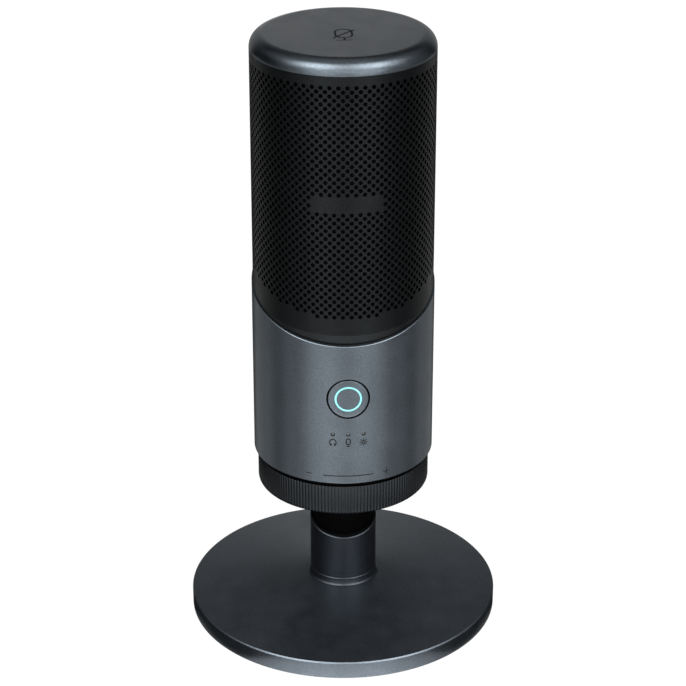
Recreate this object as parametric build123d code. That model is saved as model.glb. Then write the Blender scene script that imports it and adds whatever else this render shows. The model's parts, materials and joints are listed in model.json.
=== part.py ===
from build123d import *

import math
import os

# Desktop USB condenser microphone on a tilting stand. Millimetres, +Z up, the front faces -Y.
# The origin is on the stand's axis, on the surface that the microphone stands on.

# ---- Stand: base ----
BASE_R = 50.0
PAD_R = 47.5
PAD_T = 1.8
PAD_PROUD = 0.3
RIM_TOP_Z = 6.0
BASE_TOP_Z = 10.65
RIM_ROUND = 0.5
BALLAST_R = 44.0
BALLAST_T = 2.6
BOSS_R = 9.0
SCREW_R = 3.0
SCREW_GAP = 0.2
SCREW_HEAD_R = 5.0
SCREW_HEAD_T = 2.3
SCREW_HEAD_GAP = 0.5
SCREW_GRIP = 3.5
DRIVE_R = 2.2
DRIVE_DEPTH = 1.4
WASHER_T = 1.0

# ---- Stand: post ----
COLLAR_R = 11.5
COLLAR_EDGE = 0.3
COLLAR_SAG = 0.15
COLLAR_TOP_Z = 13.2
SPIGOT_R = 8.0
SPIGOT_T = 1.0
POST_R = 10.76
POST_BORE_R = 7.7
POST_WEB_T = 3.5
POST_CUT_FRONT_Z = 28.4
POST_CUT_SLOPE = 0.328

# ---- Tilt joint: pin along X through the ball, on a tongue that stands in the post ----
PIVOT_Z = 33.9
BALL_R = 10.0
SEAT_R = 10.3
TILT_LIMIT = 25.0
PIN_R = 2.0
PIN_HALF = 9.0
RUNNING_GAP = 0.05
TONGUE_T = 4.0
TONGUE_HALF_Y = 4.0
TONGUE_GAP = 0.35
FRICTION_WASHER_T = 0.5
FLANGE_T = 4.0
NECK_R = 7.6
NECK_FLANGE_R = 11.0
NECK_FLANGE_Z = 43.7
NECK_TOP_Z = 46.9
STUD_R = 4.76
STUD_BOTTOM_Z = 40.7
STUD_GAP = 0.5
STUD_SHORT = 1.0

# ---- Head: bottom cover, hub and volume dial ----
COVER_Z = 47.6
COVER_T = 1.6
COVER_R = 25.1
COVER_GAP = 0.3
HUB_R = 23.6
HUB_CAVITY_R = 21.2
HUB_FLOOR_T = 2.5
HUB_FLANGE_R = 27.0
INSERT_R = 7.0
INSERT_WALL = 2.5
SCREW_BOSS_R = 3.0
SENSOR_BOARD_W = 8.0
SENSOR_BOARD_T = 1.2
SENSOR_BOARD_GAP = 1.0
SENSOR_BOARD_TOP_Z = 60.4
DIAL_R = 27.5
DIAL_BOTTOM_Z = 46.4
DIAL_TOP_Z = 56.5
DIAL_ROUND = 1.4
DIAL_BORE_R = HUB_R + 0.08
DIAL_SHOULDER_Z = 49.6
DIAL_GAP = 0.4
MAGNET_R_IN = 24.6
MAGNET_R_OUT = 26.2
MAGNET_T = 2.0

# ---- Head: shell ----
SHELL_R = 28.67
SHELL_WALL = 2.0
SHELL_BOTTOM_Z = 58.2
SHELL_FRONT_Z = 105.7
SEAM_SLOPE = 0.365
SHELL_EDGE = 0.3
HOLE_REACH = 10.0
HUB_TOP_Z = 60.9
CHASSIS_T = 2.0
CHASSIS_R = 26.5
CHASSIS_BORE_R = 12.0
PILLAR_X = 20.0
PILLAR_HALF_X = 3.0
PILLAR_D = 5.0
PILLAR_GAP = 0.4
PILLAR_TAP_Z = 92.7
PILLAR_TOP_Z = 99.7

# ---- Head: front controls ----
BUTTON_Z = 87.9
BUTTON_R = 6.3
BUTTON_HOLE_R = 6.75
BUTTON_DEPTH = 4.4
BUTTON_LIP_R = 7.3
BUTTON_LIP_T = 1.0
BUTTON_STEM_R = 2.0
STEM_GAP = 0.35
BRIDGE_HALF_X = 9.0
BRIDGE_HALF_Z = 5.0
BRIDGE_RISE = 2.2
BRIDGE_T = 1.2
BRIDGE_LEG_T = 2.0
LIGHT_RING_R_OUT = 4.2
LIGHT_RING_R_IN = 3.65
LIGHT_RING_T = 1.2
INDICATOR_Z = 75.7
INDICATOR_STEP_DEG = 9.6
INDICATOR_R = 0.6
INDICATOR_HOLE_R = 0.65
GUIDE_HALF_X = 6.5
GUIDE_HALF_Z = 1.2
GUIDE_RISE = 3.0
GUIDE_T = 1.5
GUIDE_LEG_T = 1.0
BOARD_T = 1.6
BOARD_FRONT_Y = -13.6
BOARD_HALF_X = 20.5
BOARD_BOTTOM_Z = 64.7
BOARD_TOP_Z = 98.7
BOARD_SCREW_X = 19.0
BOARD_SCREW_LOW_Z = 67.7
BOARD_SCREW_HIGH_Z = 89.7
BOARD_SCREW_GRIP = 3.9
SWITCH_W = 6.0
SWITCH_T = 3.0
PLUNGER_R = 1.75
PLUNGER_HOLE_R = 2.05
PLUNGER_PROUD = 1.0
PLUNGER_SUNK = 1.2
SWITCH_TRAVEL = 0.8

# ---- Head: rear sockets ----
USB_X = -7.0
USB_W = 8.94
USB_H = 3.26
USB_WALL = 0.3
USB_MOUTH_Y = 25.8
USB_DEPTH = 8.5
USB_BACK_T = 1.5
USB_TONGUE_W = 6.6
USB_TONGUE_T = 0.7
USB_TONGUE_INSET = 1.2
JACK_X = 7.0
JACK_W = 6.5
JACK_H = 6.0
JACK_BORE_R = 1.8
JACK_BORE_DEPTH = 12.0
JACK_NOZZLE_R = 2.9
JACK_MOUTH_Y = 26.7
JACK_BACK_Y = 13.2
JACK_FACE_Y = 22.5
SOCKET_GAP = 0.3
IO_BOARD_W = 24.0
IO_BOARD_FRONT_Y = 5.0
IO_BOARD_BACK_Y = 23.0

# ---- Head: grille, cap and what they hold ----
GRILLE_R = 28.3
GRILLE_WALL = 0.8
GRILLE_CHAMFER = 0.5
INNER_GAP = 0.05
SEAM_GAP = 0.8
SEAM_RING_R = 27.7
CARRIER_WALL = 2.2
CARRIER_LIP = 5.0
CARRIER_FLOOR_T = 2.0
CABLE_SLOT_W = 11.0
CABLE_SLOT_GAP = 1.2
CAP_SEAM_Z = 191.6
CAP_TOP_Z = 196.3
CAP_ROUND = 4.3
CAP_WALL = 2.0
CAP_LEDGE_RISE = 0.6
CAP_LEDGE_W = 2.5
SKIRT_BOTTOM_Z = 185.7
SKIRT_WALL = 2.0
LINER_T = 0.3
FOAM_T = 3.0
LINING_GAP = 0.2
LINING_TOP_GAP = 0.5
CAPSULE_Z = 150.7
CAPSULE_R = 8.0
CAPSULE_FRONT_Y = -5.0
CAPSULE_BACK_Y = 4.0
CAPSULE_BOARD_T = 1.2
CAPSULE_BOARD_R = 7.5
MEMBRANE_R = 6.8
MEMBRANE_DEPTH = 0.6
SHOCK_R = 9.8
HOLDER_R = 12.0
HOLDER_FRONT_Y = -1.0
HOLDER_BACK_Y = 5.0
TOWER_RAIL_X = 11.5
TOWER_TOP_Z = 172.7
TOWER_Y = 4.0
TOWER_BAR_T = 3.0
RAIL_HALF_X = 1.5
RAIL_HALF_Y = 2.0
FOOT_W = 6.0
FOOT_T = 2.0
TOUCH_BOARD_R = 13.0
TOUCH_BOARD_T = 1.2
RIBBON_Y = 12.0
RIBBON_W = 8.0
RIBBON_T = 0.3
LEAD_R = 1.2
LEAD_Y = 9.0
LEAD_PLUG_Z = 80.7
LEAD_BEND_R = 3.5

# ---- Small screws ----
M2_R = 1.0
M2_HEAD_R = 1.9
M2_HEAD_T = 1.2
M2_GRIP = 4.5
M2_SHORT_GRIP = 2.5
CARRIER_SCREW_L = 8.0
TOWER_SCREW_L = 6.0
COVER_SCREW_RADIUS = 16.0
CHASSIS_SCREW_RADIUS = 24.0

# ---- Common ----
BIG = 400.0
OVER = 1.0
FACE_GAP = 0.02
SLIP = 0.1
FIT_GAP = 0.07
MIN_Z = (Align.CENTER, Align.CENTER, Align.MIN)


def disc(radius, z_low, z_high):
    """Solid round of the given radius about the Z axis."""
    return Pos(0, 0, z_low) * Cylinder(radius, z_high - z_low, align=MIN_Z)


def ring(outer, inner, z_low, z_high):
    """Tube about the Z axis."""
    return disc(outer, z_low, z_high) - disc(inner, z_low - OVER, z_high + OVER)


def rod_y(radius, x, z, y_low, y_high):
    """Round bar along Y."""
    middle = (y_low + y_high) / 2
    return Pos(x, middle, z) * Rot(90, 0, 0) * Cylinder(radius, y_high - y_low)


def rod_x(radius, y, z, x_low, x_high):
    """Round bar along X."""
    middle = (x_low + x_high) / 2
    return Pos(middle, y, z) * Rot(0, 90, 0) * Cylinder(radius, x_high - x_low)


def block(x_low, x_high, y_low, y_high, z_low, z_high):
    """Box given by its limits."""
    size = (x_high - x_low, y_high - y_low, z_high - z_low)
    centre = ((x_low + x_high) / 2, (y_low + y_high) / 2, (z_low + z_high) / 2)
    return Pos(*centre) * Box(*size)


def above_slant(front_z, front_r, slope):
    """Everything above a plane that rises from front_z at y = -front_r towards the back."""
    plane = Plane(origin=(0, 0, front_z + slope * front_r), x_dir=(1, 0, 0), z_dir=(0, -slope, 1))
    return plane * Box(BIG, BIG, BIG, align=MIN_Z)


def above_seam(rise):
    """Everything above the shell's slanted top edge, raised by the given height."""
    return above_slant(SHELL_FRONT_Z + rise, SHELL_R, SEAM_SLOPE)


def around(count, radius):
    """Points (x, y) evenly spaced round a circle, starting at the front."""
    turns = [math.radians(360 * i / count - 90) for i in range(count)]
    return [(radius * math.cos(a), radius * math.sin(a)) for a in turns]


def revolved(points):
    """Solid of revolution about Z of an outline in (radius, z) with straight sides."""
    return revolve(Plane.XZ * make_face(Polyline(*points, close=True)), Axis.Z)


def save(name, shape):
    """Write one sub-part as its own STEP file."""
    shape.label = name
    export_step(shape, f"parts/{name}.step")


# ---------------------------------------------------------------- stand

PLATE_Z = PAD_PROUD
PAD_TOP_Z = PAD_T
BALLAST_TOP_Z = PAD_TOP_Z + BALLAST_T
WASHER_Z = PAD_TOP_Z + SLIP + SCREW_HEAD_T
SEAT_FACE_Z = WASHER_Z + WASHER_T
BRACKET_Z = COLLAR_TOP_Z + SPIGOT_T + POST_WEB_T
BRACKET_TOP_Z = BRACKET_Z + FLANGE_T


def foot_pad():
    """Round rubber sheet that lies in the base's recess and stands proud of it."""
    return disc(PAD_R, 0, PAD_TOP_Z)


def base_plate():
    """Cast base: a shallow cone with a thin vertical rim, hollow underneath for the ballast."""
    body = revolved(
        [(0, PLATE_Z), (BASE_R, PLATE_Z), (BASE_R, RIM_TOP_Z), (COLLAR_R, BASE_TOP_Z), (0, BASE_TOP_Z)]
    )
    rim = [e for e in body.edges() if e.geom_type == GeomType.CIRCLE and abs(e.radius - BASE_R) < 0.01]
    body = fillet(rim, RIM_ROUND)
    body -= disc(PAD_R + FACE_GAP, 0, PAD_TOP_Z)
    body -= ring(BALLAST_R, BOSS_R, 0, BALLAST_TOP_Z)
    body -= disc(SCREW_HEAD_R + SCREW_HEAD_GAP, 0, SEAT_FACE_Z)
    return body - disc(SCREW_R + SCREW_GAP, 0, BASE_TOP_Z + OVER)


def base_ballast():
    """Steel disc that weighs the base down."""
    return ring(BALLAST_R - FACE_GAP, BOSS_R + FACE_GAP, PAD_TOP_Z, BALLAST_TOP_Z - FACE_GAP)


def base_screw():
    """Pan head screw that pulls the hinge bracket, post and collar onto the base."""
    shank = disc(SCREW_R, WASHER_Z - OVER, BRACKET_Z + SCREW_GRIP)
    head = disc(SCREW_HEAD_R, PAD_TOP_Z + SLIP, WASHER_Z)
    drive = Pos(0, 0, PAD_TOP_Z) * extrude(RegularPolygon(DRIVE_R, 6), DRIVE_DEPTH)
    return head + shank - drive


def base_washer():
    """Spring washer under the base screw's head."""
    return ring(SCREW_HEAD_R + SCREW_GAP, SCREW_R + SLIP, WASHER_Z, SEAT_FACE_Z)


def post_collar():
    """Flared foot between the base and the post, with a spigot that centres the post."""
    lower = (COLLAR_R, BASE_TOP_Z + COLLAR_EDGE)
    upper = (POST_R, COLLAR_TOP_Z)
    outline = Wire(
        [
            Edge.make_line((0, BASE_TOP_Z), (COLLAR_R, BASE_TOP_Z)),
            Edge.make_line((COLLAR_R, BASE_TOP_Z), lower),
            SagittaArc(lower, upper, COLLAR_SAG).edge(),
            Edge.make_line(upper, (0, COLLAR_TOP_Z)),
            Edge.make_line((0, COLLAR_TOP_Z), (0, BASE_TOP_Z)),
        ]
    )
    flare = revolve(Plane.XZ * make_face(outline), Axis.Z)
    spigot = disc(SPIGOT_R, COLLAR_TOP_Z - OVER, COLLAR_TOP_Z + SPIGOT_T)
    return flare + spigot - disc(SCREW_R + SCREW_GAP, 0, BRACKET_Z)


def stand_post():
    """Round post with a slanted top and a cup for the ball of the neck."""
    body = disc(POST_R, COLLAR_TOP_Z, PIVOT_Z + BALL_R)
    body -= disc(SPIGOT_R + FACE_GAP, COLLAR_TOP_Z - OVER, COLLAR_TOP_Z + SPIGOT_T)
    body -= disc(SCREW_R + SCREW_GAP, COLLAR_TOP_Z, BRACKET_Z)
    body -= disc(POST_BORE_R, BRACKET_Z, PIVOT_Z)
    body -= Pos(0, 0, PIVOT_Z) * Sphere(SEAT_R)
    body -= disc(SEAT_R, PIVOT_Z, BIG)
    return body - above_slant(POST_CUT_FRONT_Z, POST_R, POST_CUT_SLOPE)


def hinge_bracket():
    """Steel flange with an upright tongue that carries the tilt pin."""
    flange = disc(POST_BORE_R - SLIP, BRACKET_Z, BRACKET_TOP_Z)
    half = TONGUE_T / 2
    tongue = block(-half, half, -TONGUE_HALF_Y, TONGUE_HALF_Y, BRACKET_TOP_Z - OVER, PIVOT_Z)
    tongue += rod_x(TONGUE_HALF_Y, 0, PIVOT_Z, -half, half)
    tongue -= rod_x(PIN_R + RUNNING_GAP, 0, PIVOT_Z, -half - OVER, half + OVER)
    return flange + tongue - disc(SCREW_R + FACE_GAP, BRACKET_Z - OVER, BRACKET_Z + SCREW_GRIP + SLIP)


def friction_washers():
    """Two washers, one on each side of the tongue, that drag on the cheeks of the ball."""
    washers = []
    for side in (-1, 1):
        near = side * TONGUE_T / 2
        far = side * (TONGUE_T / 2 + FRICTION_WASHER_T)
        low, high = min(near, far), max(near, far)
        washer = rod_x(TONGUE_HALF_Y - SLIP, 0, PIVOT_Z, low, high)
        washers.append(washer - rod_x(PIN_R + RUNNING_GAP, 0, PIVOT_Z, low - OVER, high + OVER))
    return Compound(children=washers)


# ---------------------------------------------------------------- neck and dial

HUB_Z = COVER_Z + COVER_T
HUB_FLANGE_Z = DIAL_TOP_Z + DIAL_GAP


def tongue_pocket():
    """Space inside the ball that the tongue needs over the whole tilt."""
    half_x = TONGUE_T / 2 + FRICTION_WASHER_T + SLIP
    reach = BALL_R + OVER
    room = TONGUE_HALF_Y + TONGUE_GAP
    pocket = rod_x(room, 0, PIVOT_Z, -half_x, half_x)
    slab = block(-half_x, half_x, -room, room, -reach, 0)
    steps = 5
    for i in range(steps + 1):
        turn = TILT_LIMIT * (2 * i / steps - 1)
        pocket += Pos(0, 0, PIVOT_Z) * Rot(turn, 0, 0) * slab
    return pocket


def swivel_neck():
    """Black ball, neck and flange in one moulding, slotted from below for the tongue."""
    body = Pos(0, 0, PIVOT_Z) * Sphere(BALL_R)
    body += disc(NECK_R, PIVOT_Z, NECK_TOP_Z)
    body += disc(NECK_FLANGE_R, NECK_FLANGE_Z, NECK_TOP_Z)
    body -= tongue_pocket()
    body -= rod_x(PIN_R + FACE_GAP / 2, 0, PIVOT_Z, -BALL_R - OVER, BALL_R + OVER)
    return body - disc(STUD_R + FACE_GAP, STUD_BOTTOM_Z, NECK_TOP_Z + OVER)


def hinge_pin():
    """Steel pin, pressed into the ball."""
    return rod_x(PIN_R, 0, PIVOT_Z, -PIN_HALF, PIN_HALF)


def neck_stud():
    """3/8 inch threaded stud that the head screws onto."""
    return disc(STUD_R, STUD_BOTTOM_Z, HUB_FLANGE_Z - STUD_SHORT)


def neck_washer():
    """Soft washer between the neck's flange and the bottom cover."""
    return ring(NECK_FLANGE_R - SLIP, STUD_R + STUD_GAP, NECK_TOP_Z, COVER_Z)


def bottom_cover():
    """Plate that closes the head from below and keeps the dial on the hub."""
    plate = ring(COVER_R, STUD_R + STUD_GAP, COVER_Z, HUB_Z)
    for x, y in around(3, COVER_SCREW_RADIUS):
        plate -= Pos(x, y, 0) * disc(M2_R + SLIP, 0, HUB_Z + OVER)
        plate -= Pos(x, y, 0) * disc(M2_HEAD_R + SLIP, 0, COVER_Z + M2_HEAD_T)
    return plate


def bottom_cover_screws():
    """Three small screws, flush with the bottom cover."""
    screws = []
    for x, y in around(3, COVER_SCREW_RADIUS):
        screw = disc(M2_HEAD_R, COVER_Z, COVER_Z + M2_HEAD_T) + disc(M2_R, COVER_Z, HUB_Z + M2_GRIP)
        screws.append(Pos(x, y, 0) * screw)
    return Compound(children=screws)


def lower_hub():
    """Cup that the dial turns on. Its flange is the dark line between the dial and the shell."""
    inner_r = SHELL_R - SHELL_WALL - FIT_GAP
    body = disc(HUB_R, HUB_Z, HUB_TOP_Z)
    body += disc(HUB_FLANGE_R, HUB_FLANGE_Z, SHELL_BOTTOM_Z)
    body += disc(inner_r, HUB_FLANGE_Z, HUB_TOP_Z)
    body -= disc(HUB_CAVITY_R, HUB_Z + HUB_FLOOR_T, HUB_TOP_Z + OVER)
    body += disc(INSERT_R + INSERT_WALL, HUB_Z, HUB_FLANGE_Z)
    for x, y in around(3, COVER_SCREW_RADIUS):
        body += Pos(x, y, 0) * disc(SCREW_BOSS_R, HUB_Z, HUB_FLANGE_Z)
        body -= Pos(x, y, 0) * disc(M2_R + FACE_GAP, HUB_Z - OVER, HUB_Z + M2_GRIP + SLIP)
    for x, y in around(3, CHASSIS_SCREW_RADIUS):
        body -= Pos(x, y, 0) * disc(M2_R + FACE_GAP, HUB_TOP_Z - M2_SHORT_GRIP - SLIP, HUB_TOP_Z + OVER)
    return body - disc(INSERT_R, HUB_Z - OVER, HUB_TOP_Z)


def thread_insert():
    """Brass insert, threaded for the stud."""
    return ring(INSERT_R - FACE_GAP, STUD_R + FACE_GAP, HUB_Z, HUB_FLANGE_Z)


def dial_ring():
    """Volume ring that turns round the hub, without its fine grip ribs."""
    body = disc(DIAL_R, DIAL_BOTTOM_Z, DIAL_TOP_Z)
    body = fillet(body.edges().filter_by(GeomType.CIRCLE).sort_by(Axis.Z)[0], DIAL_ROUND)
    body -= disc(DIAL_BORE_R, DIAL_BOTTOM_Z - OVER, DIAL_TOP_Z + OVER)
    body -= disc(COVER_R + COVER_GAP, DIAL_BOTTOM_Z - OVER, DIAL_SHOULDER_Z)
    return body - ring(MAGNET_R_OUT, MAGNET_R_IN, DIAL_TOP_Z - MAGNET_T, DIAL_TOP_Z + OVER)


def dial_magnet_ring():
    """Many-pole magnet ring set into the top of the dial."""
    return ring(MAGNET_R_OUT - FACE_GAP, MAGNET_R_IN + FACE_GAP, DIAL_TOP_Z - MAGNET_T, DIAL_TOP_Z)


def dial_sensor_board():
    """Small upright board inside the hub that reads the magnet ring."""
    half = SENSOR_BOARD_W / 2
    back_y = HUB_CAVITY_R - SENSOR_BOARD_GAP
    return block(-half, half, back_y - SENSOR_BOARD_T, back_y, HUB_Z + HUB_FLOOR_T, SENSOR_BOARD_TOP_Z)


# ---------------------------------------------------------------- shell and chassis

PLATE_TOP_Z = HUB_TOP_Z + CHASSIS_T
IO_TOP_Z = PLATE_TOP_Z + BOARD_T
USB_Z = IO_TOP_Z + USB_H / 2
JACK_Z = IO_TOP_Z + JACK_H / 2
SHELL_IN_R = SHELL_R - SHELL_WALL
BOARD_BACK_Y = BOARD_FRONT_Y + BOARD_T
PILLAR_BACK_Y = BOARD_BACK_Y + PILLAR_D
PILLAR_Y = BOARD_BACK_Y + PILLAR_D / 2


def indicator_x():
    """The three indicators' places across the front."""
    return [SHELL_R * math.sin(math.radians(INDICATOR_STEP_DEG * i)) for i in (-1, 0, 1)]


def usb_outline(grow):
    """Outline of the USB-C socket with round ends, grown by the given amount."""
    width = USB_W + 2 * grow
    height = USB_H + 2 * grow
    return Plane.XZ * Pos(USB_X, USB_Z) * RectangleRounded(width, height, height / 2 - FIT_GAP)


def body_shell():
    """Round metal shell with a slanted top edge and holes for the button, lights and sockets."""
    body = disc(SHELL_R, SHELL_BOTTOM_Z, BIG) - above_seam(0)
    top = [e for e in body.edges() if e.geom_type == GeomType.ELLIPSE]
    body = chamfer(top, SHELL_EDGE)
    body -= disc(SHELL_IN_R, SHELL_BOTTOM_Z - OVER, BIG)
    body -= rod_y(BUTTON_HOLE_R, 0, BUTTON_Z, -SHELL_R - OVER, -HOLE_REACH)
    for x in indicator_x():
        body -= rod_y(INDICATOR_HOLE_R, x, INDICATOR_Z, -SHELL_R - OVER, -HOLE_REACH)
    body -= rod_y(JACK_NOZZLE_R + SOCKET_GAP, JACK_X, JACK_Z, HOLE_REACH, SHELL_R + OVER)
    return body - extrude(usb_outline(SOCKET_GAP), -SHELL_R - OVER)


def chassis():
    """Plastic plate over the hub with two pillars that carry the main board and the grille carrier."""
    body = ring(CHASSIS_R, CHASSIS_BORE_R, HUB_TOP_Z, PLATE_TOP_Z)
    for side in (-1, 1):
        x_low = side * PILLAR_X - PILLAR_HALF_X
        x_high = side * PILLAR_X + PILLAR_HALF_X
        pillar = block(x_low, x_high, BOARD_BACK_Y, PILLAR_BACK_Y, PLATE_TOP_Z - OVER, PILLAR_TOP_Z)
        body += pillar & disc(SHELL_IN_R - PILLAR_GAP, 0, BIG)
        body -= Pos(side * PILLAR_X, PILLAR_Y, 0) * disc(M2_R + FACE_GAP, PILLAR_TAP_Z, BIG)
        for z in (BOARD_SCREW_LOW_Z, BOARD_SCREW_HIGH_Z):
            tap_end_y = BOARD_BACK_Y + BOARD_SCREW_GRIP + SLIP
            body -= rod_y(M2_R + FACE_GAP, side * BOARD_SCREW_X, z, BOARD_BACK_Y - OVER, tap_end_y)
    for x, y in around(3, CHASSIS_SCREW_RADIUS):
        body -= Pos(x, y, 0) * disc(M2_R + SLIP, 0, PLATE_TOP_Z + OVER)
    return body


def chassis_screws():
    """Three screws that hold the chassis on the hub."""
    screw = disc(M2_R, HUB_TOP_Z - M2_SHORT_GRIP, PLATE_TOP_Z + OVER)
    screw += disc(M2_HEAD_R, PLATE_TOP_Z, PLATE_TOP_Z + M2_HEAD_T)
    return Compound(children=[Pos(x, y, 0) * screw for x, y in around(3, CHASSIS_SCREW_RADIUS)])


def main_board():
    """Upright circuit board behind the front controls."""
    board = block(-BOARD_HALF_X, BOARD_HALF_X, BOARD_FRONT_Y, BOARD_BACK_Y, BOARD_BOTTOM_Z, BOARD_TOP_Z)
    for side in (-1, 1):
        for z in (BOARD_SCREW_LOW_Z, BOARD_SCREW_HIGH_Z):
            board -= rod_y(M2_R + SLIP, side * BOARD_SCREW_X, z, BOARD_FRONT_Y - OVER, BOARD_BACK_Y + OVER)
    return board


def main_board_screws():
    """Four screws that hold the main board on the pillars."""
    screws = []
    for side in (-1, 1):
        for z in (BOARD_SCREW_LOW_Z, BOARD_SCREW_HIGH_Z):
            x = side * BOARD_SCREW_X
            screw = rod_y(M2_R, x, z, BOARD_FRONT_Y - M2_HEAD_T / 2, BOARD_BACK_Y + BOARD_SCREW_GRIP)
            screw += rod_y(M2_HEAD_R, x, z, BOARD_FRONT_Y - M2_HEAD_T, BOARD_FRONT_Y)
            screws.append(screw)
    return Compound(children=screws)


SWITCH_FRONT_Y = BOARD_FRONT_Y - SWITCH_T
PLUNGER_FRONT_Y = SWITCH_FRONT_Y - PLUNGER_PROUD
PLUNGER_BACK_Y = SWITCH_FRONT_Y + PLUNGER_SUNK


def tact_switch():
    """Push switch body on the main board, behind the button."""
    half = SWITCH_W / 2
    body = block(-half, half, SWITCH_FRONT_Y, BOARD_FRONT_Y, BUTTON_Z - half, BUTTON_Z + half)
    return body - rod_y(PLUNGER_HOLE_R, 0, BUTTON_Z, SWITCH_FRONT_Y - OVER, PLUNGER_BACK_Y + SWITCH_TRAVEL)


def switch_plunger():
    """The switch's plunger, which travels with the button."""
    return rod_y(PLUNGER_R, 0, BUTTON_Z, PLUNGER_FRONT_Y, PLUNGER_BACK_Y)


def front_ring_cutter(outer, inner, depth):
    """Ring about the button's axis, as deep as given under the shell's surface."""
    tube = rod_y(outer, 0, BUTTON_Z, -SHELL_R - OVER, 0)
    if inner > 0:
        tube -= rod_y(inner, 0, BUTTON_Z, -SHELL_R - 2 * OVER, OVER)
    return tube & ring(SHELL_R, SHELL_R - depth, SHELL_BOTTOM_Z, SHELL_FRONT_Z)


def button_cap():
    """Metal button, flush with the shell's curve, with a lip behind the shell and a stem."""
    back_y = -SHELL_R + BUTTON_DEPTH
    face = rod_y(BUTTON_R, 0, BUTTON_Z, -SHELL_R - OVER, back_y)
    cap = face & disc(SHELL_R, SHELL_BOTTOM_Z, SHELL_FRONT_Z)
    cap += rod_y(BUTTON_LIP_R, 0, BUTTON_Z, back_y - BUTTON_LIP_T, back_y)
    cap += rod_y(BUTTON_STEM_R, 0, BUTTON_Z, back_y - BUTTON_LIP_T / 2, PLUNGER_FRONT_Y)
    return cap - front_ring_cutter(LIGHT_RING_R_OUT, LIGHT_RING_R_IN, LIGHT_RING_T)


def button_light_ring():
    """Thin clear ring set into the button's face."""
    return front_ring_cutter(LIGHT_RING_R_OUT, LIGHT_RING_R_IN, LIGHT_RING_T)


def button_guide():
    """Plastic bridge on the main board that guides the button's stem."""
    front_y = PLUNGER_FRONT_Y - BRIDGE_RISE
    low_z = BUTTON_Z - BRIDGE_HALF_Z
    high_z = BUTTON_Z + BRIDGE_HALF_Z
    bridge = block(-BRIDGE_HALF_X, BRIDGE_HALF_X, front_y, BOARD_FRONT_Y, low_z, high_z)
    room = BRIDGE_HALF_X - BRIDGE_LEG_T
    bridge -= block(-room, room, front_y + BRIDGE_T, BOARD_FRONT_Y + OVER, low_z - OVER, high_z + OVER)
    return bridge - rod_y(BUTTON_STEM_R + STEM_GAP, 0, BUTTON_Z, front_y - OVER, front_y + BRIDGE_T + OVER)


def indicator_light_guide():
    """Clear moulding: a bar on the board with three pins that end in the shell's small holes."""
    bar_y = BOARD_FRONT_Y - GUIDE_RISE
    low_z = INDICATOR_Z - GUIDE_HALF_Z
    high_z = INDICATOR_Z + GUIDE_HALF_Z
    guide = block(-GUIDE_HALF_X, GUIDE_HALF_X, bar_y, BOARD_FRONT_Y, low_z, high_z)
    room = GUIDE_HALF_X - GUIDE_LEG_T
    guide -= block(-room, room, bar_y + GUIDE_T, BOARD_FRONT_Y + OVER, low_z - OVER, high_z + OVER)
    for x in indicator_x():
        surface_y = -math.sqrt(SHELL_R**2 - x**2)
        guide += rod_y(INDICATOR_R, x, INDICATOR_Z, surface_y + SLIP, bar_y + GUIDE_T / 2)
    return guide


def io_board():
    """Flat circuit board on the chassis that carries the two rear sockets."""
    half = IO_BOARD_W / 2
    return block(-half, half, IO_BOARD_FRONT_Y, IO_BOARD_BACK_Y, PLATE_TOP_Z, IO_TOP_Z)


def usb_c_socket():
    """USB-C receptacle: a thin metal shroud with its tongue, open to the back."""
    shroud = Pos(0, USB_MOUTH_Y, 0) * extrude(usb_outline(0), USB_DEPTH)
    hollow = Pos(0, USB_MOUTH_Y, 0) * extrude(usb_outline(-USB_WALL), USB_DEPTH - USB_BACK_T)
    x_low = USB_X - USB_TONGUE_W / 2
    x_high = USB_X + USB_TONGUE_W / 2
    y_low = USB_MOUTH_Y - USB_DEPTH + USB_BACK_T / 2
    y_high = USB_MOUTH_Y - USB_TONGUE_INSET
    half_t = USB_TONGUE_T / 2
    return shroud - hollow + block(x_low, x_high, y_low, y_high, USB_Z - half_t, USB_Z + half_t)


def headphone_jack():
    """3.5 mm headphone socket, open to the back."""
    half = JACK_W / 2
    body = block(JACK_X - half, JACK_X + half, JACK_BACK_Y, JACK_FACE_Y, IO_TOP_Z, IO_TOP_Z + JACK_H)
    body += rod_y(JACK_NOZZLE_R, JACK_X, JACK_Z, JACK_FACE_Y - OVER, JACK_MOUTH_Y)
    return body - rod_y(JACK_BORE_R, JACK_X, JACK_Z, JACK_MOUTH_Y - JACK_BORE_DEPTH, JACK_MOUTH_Y + OVER)


# ---------------------------------------------------------------- grille and capsule

GRILLE_IN_R = GRILLE_R - GRILLE_WALL
CARRIER_R = GRILLE_IN_R - INNER_GAP
CARRIER_IN_R = SHELL_IN_R - FIT_GAP - CARRIER_WALL
FLOOR_TOP_Z = PILLAR_TOP_Z + CARRIER_FLOOR_T
LINING_TOP_Z = SKIRT_BOTTOM_Z - LINING_TOP_GAP
SKIRT_R = GRILLE_IN_R - INNER_GAP
LINER_R = GRILLE_IN_R - INNER_GAP


def cable_slot():
    """Opening in the carrier's floor for the lead and the flat cable."""
    y_low = LEAD_Y - LEAD_R - CABLE_SLOT_GAP
    y_high = RIBBON_Y + RIBBON_T + CABLE_SLOT_GAP
    half = CABLE_SLOT_W / 2
    return block(-half, half, y_low, y_high, PILLAR_TOP_Z - OVER, FLOOR_TOP_Z + OVER)


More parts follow.
